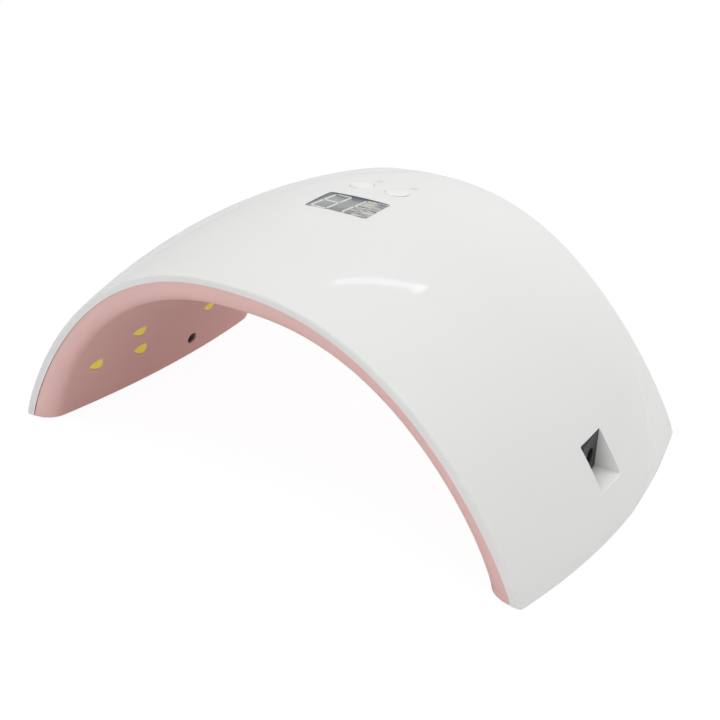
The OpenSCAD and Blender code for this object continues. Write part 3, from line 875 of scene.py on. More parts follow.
def fit(obj: Piece, finish: Finish, body: str = "lamp", stands_for: Sequence[str] = ()) -> None:
    """Dresses a new piece and ties it to the frame.

    Args:
        obj: The piece.
        finish: Its finish.
        body: The body that it rides on.
        stands_for: CAD nodes that it replaces.
    """
    dress(obj, finish)
    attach(obj, body)
    if stands_for:
        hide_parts(*stands_for)
    log.info("%s: %d points, %d faces", obj.name, len(obj.data.vertices), len(obj.data.polygons))


@dataclass(frozen=True)
class Recess(Block):
    """A straight block cut from or set into a wall, from one level behind a point to another.

    Attributes:
        low: Level of its near end.
        high: Level of its far end.
        edge: Size of the bevel at both ends.
    """

    low: float
    high: float
    edge: float = 0.0

    def solid(self, name: str) -> Piece:
        """Builds the block from rings of its outline.

        Args:
            name: Name of the object.

        Returns:
            The closed block.
        """
        e, rings = self.edge, [(0.0, self.low), (0.0, self.high)]
        if e > 0:
            rings = [(-e, self.low), (-0.3 * e, self.low + 0.3 * e), (0.0, self.low + e)]
            rings += [(0.0, self.high - e), (-0.3 * e, self.high - 0.3 * e), (-e, self.high)]
        return ringed(name, [self.spread(offset) + level * self.out for offset, level in rings])


def bead_places() -> List[Tuple[float, float]]:
    """Lists the places of all lamp beads, four on each flank and ten on the crown.

    Returns:
        The places as (t, distance behind the front edge).
    """
    near, far = 17.6, 75.0
    long = far - near
    flank = [(0.926, near), (0.876, near + 0.3 * long), (0.946, near + 0.38 * long), (0.907, far)]
    crown = [(t, d) for t in (-0.6, -0.3, 0.0, 0.3, 0.6) for d in (38.0, 84.0)]
    return [(side * t, d) for side in (-1, 1) for t, d in flank] + crown


def eye_outline(size: float, t: float) -> Array:
    """Outline of a bead's opening: an eye with two pointed ends whose lower lid sags towards the rear.

    The first axis leads down the flank and the second to the rear. The upper lid is a quadratic curve,
    b(s) = a * (1 - s) ** 2 + 2 * p * s * (1 - s) + c * s ** 2, and the lower lid a cubic one.

    Args:
        size: Share of the opening's size, about its middle.
        t: Place on the arch. The axes are right-handed for the viewer only on the left.

    Returns:
        The points, counter-clockwise for the viewer.
    """
    near, far = np.array([1.1, -3.3]), np.array([-1.05, 3.6])
    lid, sag_rear, sag = np.array([-3.3, -0.75]), np.array([4.0, 4.6]), np.array([6.5, 3.3])
    s = np.linspace(0, 1, 25)[:-1, None]
    upper = near * (1 - s) ** 2 + 2 * lid * s * (1 - s) + far * s**2
    s = np.linspace(0, 1, 41)[:-1, None]
    lower = far * (1 - s) ** 3 + 3 * sag_rear * s * (1 - s) ** 2 + 3 * sag * s**2 * (1 - s) + near * s**3
    outline = np.concatenate([upper, lower])[::-1]
    middle = np.array([1.2, 0.7])
    outline = middle + size * (outline - middle)
    return outline if t < 0 else outline[::-1]


def arch_places(steps: int) -> Array:
    """Places round the arch, dense towards the feet: t = sin(a) for a from -90 to 90 degrees."""
    return np.sin(np.radians(np.linspace(-90, 90, steps + 1)))


@dataclass
class ShellSkin:
    """The white outer shell with its rounded rims, its openings, the jack's sleeve and the screw bosses."""

    form: ArchForm = FORM
    columns: int = 180
    rows: int = 92
    inner_rows: int = 28
    foot_round: float = 0.45
    button_hole: float = 4.55
    pocket_w: float = 13.8
    pocket_h: float = 14.8
    pocket_z: float = 13.4
    pocket_at: float = 56.2
    sleeve: float = 1.6
    sleeve_x: float = 95.4
    boss_r: float = 3.4
    foot_boss_low: float = 5.0
    foot_hole_r: float = 1.55
    foot_hole_deep: float = 9.0
    board_hole_r: float = 1.05
    board_hole_deep: float = 5.0
    board_top: float = 72.7
    board_at: float = 75.0
    board_hole_w: float = 64.0
    board_hole_l: float = 44.0

    def profile(self) -> Array:
        """Steps round the wall as (share of the depth, added distance, inset, share of the wall).

        The rounded edges are quarter circles: distance r * (1 - sin a) and inset r * (1 - cos a).

        Returns:
            The steps, in order along the outer face, over the rear edge, back inside and over the front.
        """
        r = self.form.edge
        a = np.radians(np.linspace(90, 0, 7))
        f = np.linspace(0, 1, self.rows + 1)[1:-1]
        g = np.linspace(1, 0, self.inner_rows + 1)
        lip = np.linspace(0, 1, 5)[1:-1]
        zero, one = np.zeros_like, np.ones_like
        front = np.stack([zero(a), r * (1 - np.sin(a)), r * (1 - np.cos(a)), zero(a)], -1)
        outer = np.stack([f, r * (1 - 2 * f), zero(f), zero(f)], -1)
        rear = np.stack([one(a), -r * (1 - np.sin(a)), r * (1 - np.cos(a)), zero(a)], -1)[::-1]
        back = np.stack([one(lip), zero(lip), r * (1 - lip), lip], -1)
        inner = np.stack([g, zero(g), zero(g), one(g)], -1)
        lead = np.stack([zero(lip), zero(lip), r * lip, 1 - lip], -1)
        return np.concatenate([front, outer, rear, back, inner, lead])

    def wall(self) -> Piece:
        """Builds the arch: x = t * (half - inset) less the foot's rounding and the wing, z = top * arch(t).

        Returns:
            The closed arch.
        """
        form, t = self.form, arch_places(self.columns)
        share, added, inset, inward = (c[:, None] for c in self.profile().T)
        d = share * form.rear(t)[None] + added
        z = (form.top(d) - inward * form.crown_wall - inset) * form.rim(t)[None]
        low = np.clip(self.foot_round - z, 0, self.foot_round)
        rounding = self.foot_round - np.sqrt(np.maximum(self.foot_round**2 - low**2, 0))
        side = np.sign(t)[None] * (1 - inward)
        x = t[None] * (form.half(d) - inward * form.foot_wall - inset) - side * (rounding + form.wing(d, z))
        rows, cols = x.shape
        faces = grid_quads(rows, cols, ring_rows=True).tolist()
        faces.append([j * cols for j in range(rows)])
        faces.append([j * cols + cols - 1 for j in reversed(range(rows))])
        return new_object("shell_skin", placed(np.stack([x, d, z], -1).reshape(-1, 3)), faces)

    def boss(self, x: float, d: float, low: float) -> Piece:
        """A screw boss whose top end lies in the middle of the wall above it.

        Args:
            x: Place across the lamp.
            d: Distance behind the front edge.
            low: Height of its lower end.

        Returns:
            The closed boss.
        """
        form = self.form
        ring = circle(self.boss_r, 32) + np.array([x, d])
        half, top = form.half(ring[:, 1]) - form.foot_wall / 2, form.top(ring[:, 1]) - form.crown_wall / 2
        high = top * form.rim(np.clip(ring[:, 0] / half, -1, 1))
        return ringed("boss", [np.column_stack([ring, level]) for level in (np.full_like(high, low), high)])

    def sleeve_block(self) -> Piece:
        """Builds the block round the jack's pocket, whose outer end follows the middle of the flank's wall.

        Returns:
            The closed block.
        """
        form = self.form
        w, h = self.pocket_w / 2 + self.sleeve, self.pocket_h + 2 * self.sleeve
        d, z = np.meshgrid(
            np.linspace(self.pocket_at - w, self.pocket_at + w, 9),
            np.linspace(self.pocket_z - self.sleeve, self.pocket_z - self.sleeve + h, 9),
            indexing="ij",
        )
        outer = form.shell_x(d, z) - form.foot_wall / 2
        inner = np.full_like(outer, self.sleeve_x)
        return walled("sleeve", *(np.stack([x, d, z], -1) for x in (outer, inner)))

    def board_spots(self, z: float) -> List[Array]:
        """Points (x, d, z) of the four screws of the control board."""
        wide, long = self.board_hole_w / 2, self.board_hole_l / 2
        return [np.array([a * wide, self.board_at + b * long, z]) for a in (-1, 1) for b in (-1, 1)]

    def openings(self) -> List[Piece]:
        """Makes the cutters of the window, the two button holes, the pocket and the screw holes.

        Returns:
            The cutters.
        """
        form = self.form
        x, y, z = np.eye(3)
        spot = np.array([0, PLACES.window_at, float(form.top(PLACES.window_at))])
        window = rounded_rectangle(*PLACES.window, edge=18)
        window = Opening(window, spot, x, y, z, form.outside, depth=8, fillet=0.22)
        cuts = [window.solid("cut_window")]
        for side in (-1, 1):
            spot = np.array([side * PLACES.button_x, PLACES.button_at, 0.0])
            spot[2] = form.shell_z(PLACES.button_x, PLACES.button_at)
            hole = Opening(circle(self.button_hole), spot, x, y, z, form.outside, depth=8, fillet=0.05)
            cuts.append(hole.solid("cut_button"))
        pocket = rounded_rectangle(self.pocket_w, self.pocket_h, 0.35, corner=4, edge=18)
        middle = self.pocket_z + self.pocket_h / 2
        spot = np.array([form.shell_x(self.pocket_at, middle), self.pocket_at, middle])
        pocket = Opening(pocket, spot, y, z, x, form.outside, depth=18, fillet=0.18, rise=4)
        cuts.append(pocket.solid("cut_pocket"))
        feet, board = PLACES.feet(self.foot_boss_low - 1), self.board_spots(self.board_top - 1)
        screws = [(self.foot_hole_r, self.foot_hole_deep, spot) for spot in feet]
        screws += [(self.board_hole_r, self.board_hole_deep, spot) for spot in board]
        return cuts + [lathe("cut_hole", [(r, 0), (r, deep)], spot, sides=24) for r, deep, spot in screws]

    def build(self) -> None:
        """Builds, cuts and dresses the shell."""
        skin = self.wall()
        spots = PLACES.feet(self.foot_boss_low) + self.board_spots(self.board_top)
        combine(skin, joined("extra", [self.sleeve_block(), *(self.boss(*spot) for spot in spots)]), "UNION")
        combine(skin, joined("cutters", self.openings()), "DIFFERENCE")
        follow_surface(skin, self.form.outside, 1)
        fit(skin, SHELL_WHITE, stands_for=["outer_shell"])


@dataclass
class Reflector:
    """The pink reflector: rolled rims, the tunnel, the rear face and the plates under the feet."""

    form: ArchForm = FORM
    columns: int = 160
    rows: int = 44
    roll_rows: int = 9
    front_roll: float = 6.0
    rear_roll: float = 12.0
    rear_spread: float = 10.0
    plate_t: float = 1.6
    sensor_hole: float = 2.5
    room_w: float = 5.8
    room_deep: float = 3.4
    room_gap: float = 0.1
    boss_r: float = 6.2
    boss_ends: Tuple[float, float] = (0.8, 5.0)
    pad_cut: Sequence[Tuple[float, float]] = (
        (5.2, -1), (5.2, 1.4), (2.9, 1.4), (2.9, 3.1), (1.7, 3.1), (1.7, 6),
    )

    def steps(self) -> Array:
        """Steps from the front rim to the rear roll, as in the frame.

        Each is (share of the depth, added distance, added half width, added height, sideways lean,
        lengthwise lean). A roll of the depth r is (r * (1 - cos a), spread * (1 - sin a)).

        Returns:
            The steps.
        """
        form = self.form
        rim_half = form.front_span / 2 - form.foot_wall - form.rim_gap
        rim_top = form.front_height - form.crown_wall - form.rim_gap
        open_half = rim_half - form.throat_half() - form.throat_flare
        open_top = rim_top - form.throat_top() - form.throat_flare
        a = np.radians(np.linspace(0, 90, self.roll_rows + 1))
        f = np.linspace(0, 1, self.rows + 1)[1:-1]
        c, s = np.cos(a), np.sin(a)
        zero, one = np.zeros_like, np.ones_like
        reach = self.front_roll * (1 - c) + form.edge / 2
        front = [zero(a), reach, open_half * (1 - s), open_top * (1 - s), s, c]
        body = [f, self.front_roll * (1 - f) - self.rear_roll * f, zero(f), zero(f), one(f), zero(f)]
        spread = self.rear_spread * (1 - s)
        rear = [one(a), -self.rear_roll * (1 - c) - form.edge, spread, spread, s, -c]
        return np.concatenate([np.stack(front, -1), np.stack(body, -1), np.stack(rear, -1)[::-1]])

    def face(self, back: float) -> Array:
        """Grid of points of the visible face, or of the back at that distance behind it.

        Args:
            back: 0 for the visible face, or the wall's thickness.

        Returns:
            The grid of (x, d, z), one row for each step and one more for the rear face.
        """
        form, t = self.form, arch_places(self.columns)
        share, added, wide, high, lean, turn = (c[:, None] for c in self.steps().T)
        floor = self.plate_t if back > 0 else 0.0
        d = share * form.rear(t)[None] + added
        half = form.throat_half() + form.flare(d) + wide + back * lean
        top = form.throat_top() + form.flare(d) + high + back * lean
        p, q = form.tunnel_powers(t[None], d)
        z = np.maximum(top * form.arch(t[None], p, q), floor)
        grid = np.stack([t[None] * half, d + back * turn, z], -1)
        rear_d = form.rear(t) - form.edge / 2 - back
        rear_x = t * (form.half(rear_d) - form.foot_wall - form.rim_gap)
        rear_z = np.maximum((form.top(rear_d) - form.crown_wall - form.rim_gap) * form.rim(t), floor)
        edge = np.stack([rear_x, rear_d, rear_z], -1)
        ends = [grid[-1] * (1 - w) + edge * w for w in (0.04, 0.5, 0.985, 1.0)]
        grid = np.concatenate([grid, np.stack(ends)])
        depth = grid[:, 0, 1]
        drop = (1 - (floor / (form.top(depth) - form.crown_wall)) ** (1 / form.rim_q)) ** (1 / form.rim_p)
        reach = (form.half(depth) - form.foot_wall) * drop - form.liner_gap
        rim = [np.stack([side * reach, depth, np.full_like(depth, floor)], -1)[:, None] for side in (-1, 1)]
        return np.concatenate([rim[0], grid, rim[1]], 1)

    def wall(self) -> Piece:
        """Builds the closed wall between the visible face and the back."""
        return walled("reflector", self.face(self.form.liner_wall), self.face(0.0), 40)

    def openings(self) -> List[Piece]:
        """Makes the cutters of the eyes and bead pockets, the sensor openings and the places of the pads.

        Returns:
            The cutters.
        """
        form, cuts = self.form, []
        sensors = [(side * PLACES.sensor_place, PLACES.sensor_at) for side in (-1, 1)]
        for t, d in bead_places():
            spot, down, normal = form.tunnel_point(t, d)
            eye = Opening(eye_outline(1.0, t), spot, down, REAR, -normal, form.tunnel, depth=2.2, fillet=0.06)
            pocket = rounded_rectangle(self.room_w, self.room_w, 0.4, corner=4, edge=2)
            middle, low = spot + PLACES.bead_middle * down, PLACES.bead_low - self.room_gap
            room = Recess(pocket, middle, down, REAR, normal, low, self.room_deep)
            cuts += [eye.solid("cut_eye"), room.solid("cut_bead")]
        feet = PLACES.feet(0.0)
        for k, (t, d) in enumerate(sensors):
            spot, down, normal = form.tunnel_point(t, d)
            hole = circle(self.sensor_hole, 48)
            hole = Opening(hole, spot, down, REAR, -normal, form.tunnel, depth=4, fillet=0.15)
            cuts.append(hole.solid("cut_sensor"))
            cuts += [lathe("cut_pad", self.pad_cut, foot) for foot in feet[2 * k : 2 * k + 2]]
        return cuts

    def build(self) -> None:
        """Builds, cuts and dresses the reflector."""
        wall = self.wall()
        profile = [(self.boss_r, z) for z in self.boss_ends]
        bosses = [lathe("boss", profile, foot) for foot in PLACES.feet(0.0)]
        combine(wall, joined("bosses", bosses), "UNION", 40)
        for cutter in self.openings():
            combine(wall, cutter, "DIFFERENCE", 40)
        follow_surface(wall, self.form.tunnel, -1)
        fit(wall, REFLECTOR_PINK, stands_for=["inner_liner"])


@dataclass
class LampBeads:
    """The lamp beads: square packages whose white lip and yellow gel fill the reflector's openings."""

    form: ArchForm = FORM
    width: float = 5.4
    thick: float = 1.5
    lip_share: float = 0.97
    lip_below: float = 0.22
    lip_root: float = 0.3
    gel_share: float = 0.86
    gel_below: float = 0.06
    gel_root: float = 0.05
    flank_from: float = 0.7

    def fill(self, t: float, d: float, share: float, top: float, foot: float) -> Piece:
        """A block with the eye's outline whose face follows the tunnel, a little behind it.

        Args:
            t: Place on the arch.
            d: Distance behind the front edge.
            share: Size of its outline against the opening's.
            top: Depth of its face behind the tunnel's face.
            foot: Depth of its foot.

        Returns:
            The closed block.
        """
        spot, down, normal = self.form.tunnel_point(t, d)
        outline = eye_outline(share, t)
        ruler = Opening(outline, spot, down, REAR, -normal, self.form.tunnel, depth=0)
        middle = outline.mean(0)
        pts = []
        rings = [(1, foot), (1, top + 0.05), *[(share, top) for share in (0.985, 0.8, 0.6, 0.4, 0.2, 0.02)]]
        for size, level in rings:
            flat = middle + size * (outline - middle)
            spots = spot + flat[:, :1] * down + flat[:, 1:] * REAR
            pts.append(spots - (ruler.height(spots) - level)[:, None] * normal)
        return ringed("fill", pts, 50)

    def package(self, t: float, d: float) -> Piece:
        """A rounded square package with a bevelled rim, and the white lip that stands in the opening.

        Args:
            t: Place on the arch.
            d: Distance behind the front edge.

        Returns:
            The package.
        """
        spot, down, normal = self.form.tunnel_point(t, d)
        outline = rounded_rectangle(self.width, self.width, 0.5, corner=5, edge=3)
        middle, low = spot + PLACES.bead_middle * down, PLACES.bead_low
        body = Recess(outline, middle, down, REAR, normal, low, low + self.thick, edge=0.15)
        lip = self.fill(t, d, self.lip_share, self.lip_below, low + self.lip_root)
        return joined("package", [body.solid("package"), lip])

    def build(self) -> None:
        """Builds and dresses the beads of the three boards."""
        edge = self.flank_from
        for name, low, high in (("left", -1, -edge), ("right", edge, 1), ("top", -edge, edge)):
            group = [bead for bead in bead_places() if low < bead[0] < high]
            packages = joined(f"bead_packages_{name}", [self.package(*bead) for bead in group])
            fit(packages, PACKAGE_WHITE, stands_for=[f"led_beads_{name}"])
            depths = (self.gel_below, self.lip_below + self.gel_root)
            gels = [self.fill(*bead, self.gel_share, *depths) for bead in group]
            gels = joined(f"bead_gels_{name}", gels, 50)
            # The gels carry a faint painted glow, though the beads are not lit.
            fit(gels, GEL_YELLOW_PAINTED_GLOW, stands_for=[f"bead_lenses_{name}"])


@dataclass
class HandSensors:
    """The two hand sensors: a dark domed lens in a barrel with a collar behind the wall."""

    form: ArchForm = FORM
    radius: float = 2.42
    inset: float = 0.25
    length: float = 6.35

    def build(self) -> None:
        """Builds and dresses both sensors."""
        r, c = self.radius, self.form.liner_wall + 0.2 - self.inset
        dome = [(0.03, 0.0), (0.8, 0.02), (1.5, 0.1), (1.95, 0.24), (2.2, 0.45), (r, 0.8)]
        collar = [(r, c), (r + 1, c), (r + 1, c + 1), (r, c + 1)]
        profile = dome + collar + [(r, self.length - 0.3), (r - 0.3, self.length)]
        for side, name in ((-1, "emitter"), (1, "receiver")):
            spot, _, normal = self.form.tunnel_point(side * PLACES.sensor_place, PLACES.sensor_at, self.inset)
            lens = lathe(f"hand_{name}", profile, spot, normal)
            fit(lens, SENSOR_BLACK, stands_for=[f"sensor_{name}"])


@dataclass
class DisplayWindow:
    """The display: a grey panel just below the crown in a grey frame that paints the shade on the window's
    walls, two slanted digits and a film.
    """

    form: ArchForm = FORM
    inset: float = 0.2
    panel_t: float = 2.0
    panel_gap: float = 0.3
    rim_gaps: Tuple[float, float] = (0.02, 0.28)
    rim_root: float = 0.4
    rim_below: float = 0.12
    row_gap: float = 7.2
    side_gap: float = 6.3
    pitch: float = 12.6
    digit_x: float = -0.57
    digit_y: float = 0.5
    bar_w: float = 0.95
    bar_gap: float = 0.35
    slant: float = 6.5
    film_from: float = 3.6
    film_gap: float = 0.32
    film_t: float = 0.03
    film_low: float = 0.07
    film_rise: float = 0.1
    folds: Sequence[Tuple[float, float, float, float]] = (
        (1.0, 0.9, 2.1, 0.3), (0.8, -1.3, 2.9, 1.9), (0.6, 2.4, 3.6, 0.7), (0.45, 3.9, -1.8, 2.6),
    )

    def plane(self) -> Tuple[Array, Array, Array, Array]:
        """The panel's face: it lies inset below the plane through the window's corners.

        Returns:
            Its middle and its directions across, to the rear and out.
        """
        (width, length, _), at = PLACES.window, PLACES.window_at
        near, far = (float(self.form.shell_z(width / 2, at + k * length / 2)) for k in (-1, 1))
        u, v = np.array([1.0, 0.0, 0.0]), unit(np.array([0.0, length, far - near]))
        out = np.cross(u, v)
        return np.array([0.0, at, (near + far) / 2]) - self.inset * out, u, v, out

    def shape(self, less: float, edge: int) -> Array:
        """The window's outline made smaller by a gap of less / 2 all round, with divided edges."""
        width, length, corner = PLACES.window
        return rounded_rectangle(width - less, length - less, corner - less / 2, edge=edge)

    def panel(self) -> Piece:
        """The panel, a rounded block with bevelled edges."""
        outline = self.shape(self.panel_gap, 10)
        return Recess(outline, *self.plane(), low=-self.panel_t, high=0.0, edge=0.05).solid("display_panel")

    def rim(self) -> Piece:
        """Makes the grey frame, a thin wall round the panel that ends a little below the shell's face. Its
        grey paints the shade on the window's walls.

        Returns:
            The frame.
        """
        at, middle = PLACES.window_at, self.plane()[0]
        outer, inner = (self.shape(less, 18) for less in self.rim_gaps)
        low = np.full(len(outer), middle[2] - self.panel_t + self.rim_root)
        high = self.form.shell_z(outer[:, 0], outer[:, 1] + at) - self.rim_below
        rings = [(outer, low), (outer, high), (inner, high), (inner, low)]
        pts = [np.column_stack([ring[:, 0], ring[:, 1] + at, z]) for ring, z in rings]
        faces = grid_quads(4, len(outer), ring_rows=True, ring_cols=True)
        return new_object("window_shade_lining", placed(np.concatenate(pts)), faces.tolist())

    def bar(self, x: float, y: float, length: float, turn: float) -> Piece:
        """One bar with pointed ends on the panel's face, turned about its middle.

        Args:
            x: Middle of the bar across the panel.
            y: Middle of the bar along the panel.
            length: Length between its points.
            turn: Angle in degrees.

        Returns:
            The bar.
        """
        w, tip = self.bar_w / 2, length / 2
        flat = np.array([[tip, 0], [tip - w, w], [w - tip, w], [-tip, 0], [w - tip, -w], [tip - w, -w]])
        a = math.radians(turn)
        middle, across, along, out = self.plane()
        u, v = math.cos(a) * across + math.sin(a) * along, math.cos(a) * along - math.sin(a) * across
        place = middle + x * across + y * along
        return Recess(flat, place, u, v, out, low=-0.1, high=0.04, edge=0.02).solid("bar")

    def digits(self) -> Piece:
        """Makes both digits, seven bars each: three rows row_gap apart and four sides between them.

        Returns:
            The bars as one piece.
        """
        bars, lean = [], math.tan(math.radians(self.slant))
        for middle in (-self.pitch / 2, self.pitch / 2):
            x, y = self.digit_x + middle, self.digit_y
            for k in (-1, 0, 1):
                row = k * self.row_gap
                bars.append(self.bar(x + row * lean, y + row, self.side_gap - self.bar_gap, 0))
            for side in (-1, 1):
                for k in (-0.5, 0.5):
                    row = k * self.row_gap
                    place = x + side * self.side_gap / 2 + row * lean
                    bars.append(self.bar(place, y + row, self.row_gap - self.bar_gap, 90 - self.slant))
        return joined("display_digits", bars)

    def film(self) -> Piece:
        """The crumpled film over the right part of the panel.

        Its height is the sum of size * (1 - |sin(a * x + b * y + c + wave)|) ** 2, one for each fold, and it
        is lowest along its own edges.

        Returns:
            The closed sheet.
        """
        middle, across, along, out = self.plane()
        half_w, half_l = PLACES.window[0] / 2 - self.film_gap, PLACES.window[1] / 2 - self.film_gap
        s, t = np.meshgrid(np.linspace(0, 1, 90), np.linspace(-1, 1, 130), indexing="ij")
        y = t * half_l
        left = self.film_from + y * math.tan(math.radians(self.slant))
        left = left + 0.25 * np.sin(2.3 * y + 0.8) * np.sin(0.9 * y)
        x = left + s * (half_w - left)
        rise = np.zeros_like(x)
        for size, a, b, c in self.folds:
            rise += size * (1 - np.abs(np.sin(a * x + b * y + c + 0.7 * np.sin(1.7 * x - 1.1 * y)))) ** 2
        fade = np.minimum(1, 6 * np.minimum(s, 1 - s)) * np.minimum(1, 9 * (1 - np.abs(t)))
        high = self.film_low + self.film_rise * rise * fade
        flat = middle + x[..., None] * across + y[..., None] * along
        top, foot = flat + high[..., None] * out, flat + (high - self.film_t)[..., None] * out
        return walled("display_film", foot, top, 60)

    def build(self) -> None:
        """Builds and dresses the panel, the frame, the digits and the film."""
        fit(self.panel(), PANEL_GREY, stands_for=["display_window"])
        fit(self.rim(), WINDOW_SHADE_LINING)
        fit(self.digits(), SEGMENT_PALE, stands_for=["display_segments"])
        fit(self.film(), FILM_GREY)


@dataclass
class PushButton:
    """A push button: a low domed cap on its flange and stem, on a body of its own."""

    side: int
    form: ArchForm = FORM
    radius: float = 4.46
    proud: float = 0.4
    dome_r: float = 40.0
    edge: float = 0.25
    stem_r: float = 1.75
    flange: float = 1.0

    def top_z(self, x: Array, d: Array) -> Array:
        """Height of the dome, a sphere of the radius dome_r whose top is square to the crown's slope.

        Args:
            x: Places across the lamp.
            d: Distances behind the front edge.

        Returns:
            The heights.
        """
        place, at = PLACES.button_x, PLACES.button_at
        z0 = float(self.form.shell_z(place, at)) + self.proud
        slope = math.atan(float(self.form.shell_z(place, at + 1) - self.form.shell_z(place, at - 1)) / 2)
        centre = np.array([place, at, z0]) - self.dome_r * np.array([0.0, -math.sin(slope), math.cos(slope)])
        return centre[2] + np.sqrt(self.dome_r**2 - (np.abs(x) - centre[0]) ** 2 - (d - centre[1]) ** 2)

    def build(self, stem_low: float, flange_top: float) -> None:
        """Builds and dresses the cap.

        Args:
            stem_low: Height of the stem's lower end.
            flange_top: Height of the flange's upper face.
        """
        e, r, wide = self.edge, self.radius, self.radius + self.flange
        turn = np.radians(np.linspace(0, 90, 7))[1:]
        dome = [(k, 0.0) for k in np.linspace(0.02, r - e, 10)]
        dome += [(r - e * (1 - math.sin(k)), e * (1 - math.cos(k))) for k in turn]
        below = flange_top - self.flange
        stem = [(r, flange_top), (wide, flange_top), (wide, below), (self.stem_r, below)]
        pts = []
        for k, z in dome + stem + [(self.stem_r, stem_low), (0.02, stem_low)]:
            x, d = (circle(k, 72) + [self.side * PLACES.button_x, PLACES.button_at]).T
            height = self.top_z(x, d) - z if len(pts) < len(dome) else np.full_like(x, z)
            pts.append(np.column_stack([x, d, height]))
        name = "left" if self.side < 0 else "right"
        cap, body = ringed(f"push_cap_{name}", pts), f"button_{name}"
        fit(cap, BUTTON_WHITE, body, [body])


@dataclass
class FootPads:
    """The four rubber pads, each with a rounded edge and a shallow ring on its sole."""

    radius: float = 5.0
    step: float = 0.6
    thick: float = 2.0

    def build(self) -> None:
        """Builds and dresses the pads."""
        r, low, high = self.radius, -self.step, self.thick - self.step
        sole = [(0.03, low + 0.12), (2.6, low + 0.12), (2.9, low), (r - 0.35, low)]
        wall = [(r - 0.1, low + 0.1), (r, low + 0.35), (r, high - 0.1), (r - 0.1, high), (0.03, high)]
        pads = [lathe("pad", sole + wall, foot) for foot in PLACES.feet(0.0)]
        fit(joined("rubber_pads", pads), PAD_RUBBER, stands_for=["foot_pads"])


@dataclass
class PrintedNumbers:
    """Plain numbers of seconds behind each button, laid on the crown."""

    form: ArchForm = FORM
    size: float = 2.3
    above: float = 0.02
    numbers: Sequence[Tuple[str, float, float]] = (("30", -5.4, 97.0), ("60", 9.4, 97.4))

    def number(self, words: str, x: float, d: float) -> Piece:
        """Makes one number and lays its points just above the shell.

        Args:
            words: The digits.
            x: Middle of the number across the lamp.
            d: Middle of the number behind the front edge.

        Returns:
            The number as a mesh.
        """
        curve = bpy.data.curves.new("number", "FONT")
        curve.body, curve.size, curve.align_x, curve.align_y = words, self.size, "CENTER", "CENTER"
        text = put("number", curve)
        bpy.context.view_layer.update()
        mesh = bpy.data.meshes.new_from_object(text.evaluated_get(bpy.context.evaluated_depsgraph_get()))
        bpy.data.objects.remove(text)
        spots = pulled(mesh.vertices, "co", 3) + [x, d, 0]
        spots[:, 2] = self.form.shell_z(spots[:, 0], spots[:, 1]) + self.above
        mesh.vertices.foreach_set("co", placed(spots).ravel())
        mesh.update()
        return put("number", mesh)

    def build(self) -> None:
        """Builds and dresses both numbers."""
        marks = joined("second_marks", [self.number(*each) for each in self.numbers])
        fit(marks, PRINT_GREY)


@dataclass
class InnerWorks:
    """The parts inside, which keep their CAD shapes."""

    finishes: Sequence[Tuple[Any, ...]] = INNER_FINISHES

    def build(self) -> None:
        """Dresses each node."""
        for finish, *nodes in self.finishes:
            for node in nodes:
                dress(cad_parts[node], finish)
            log.info("%s: %s", finish.name, ", ".join(nodes))


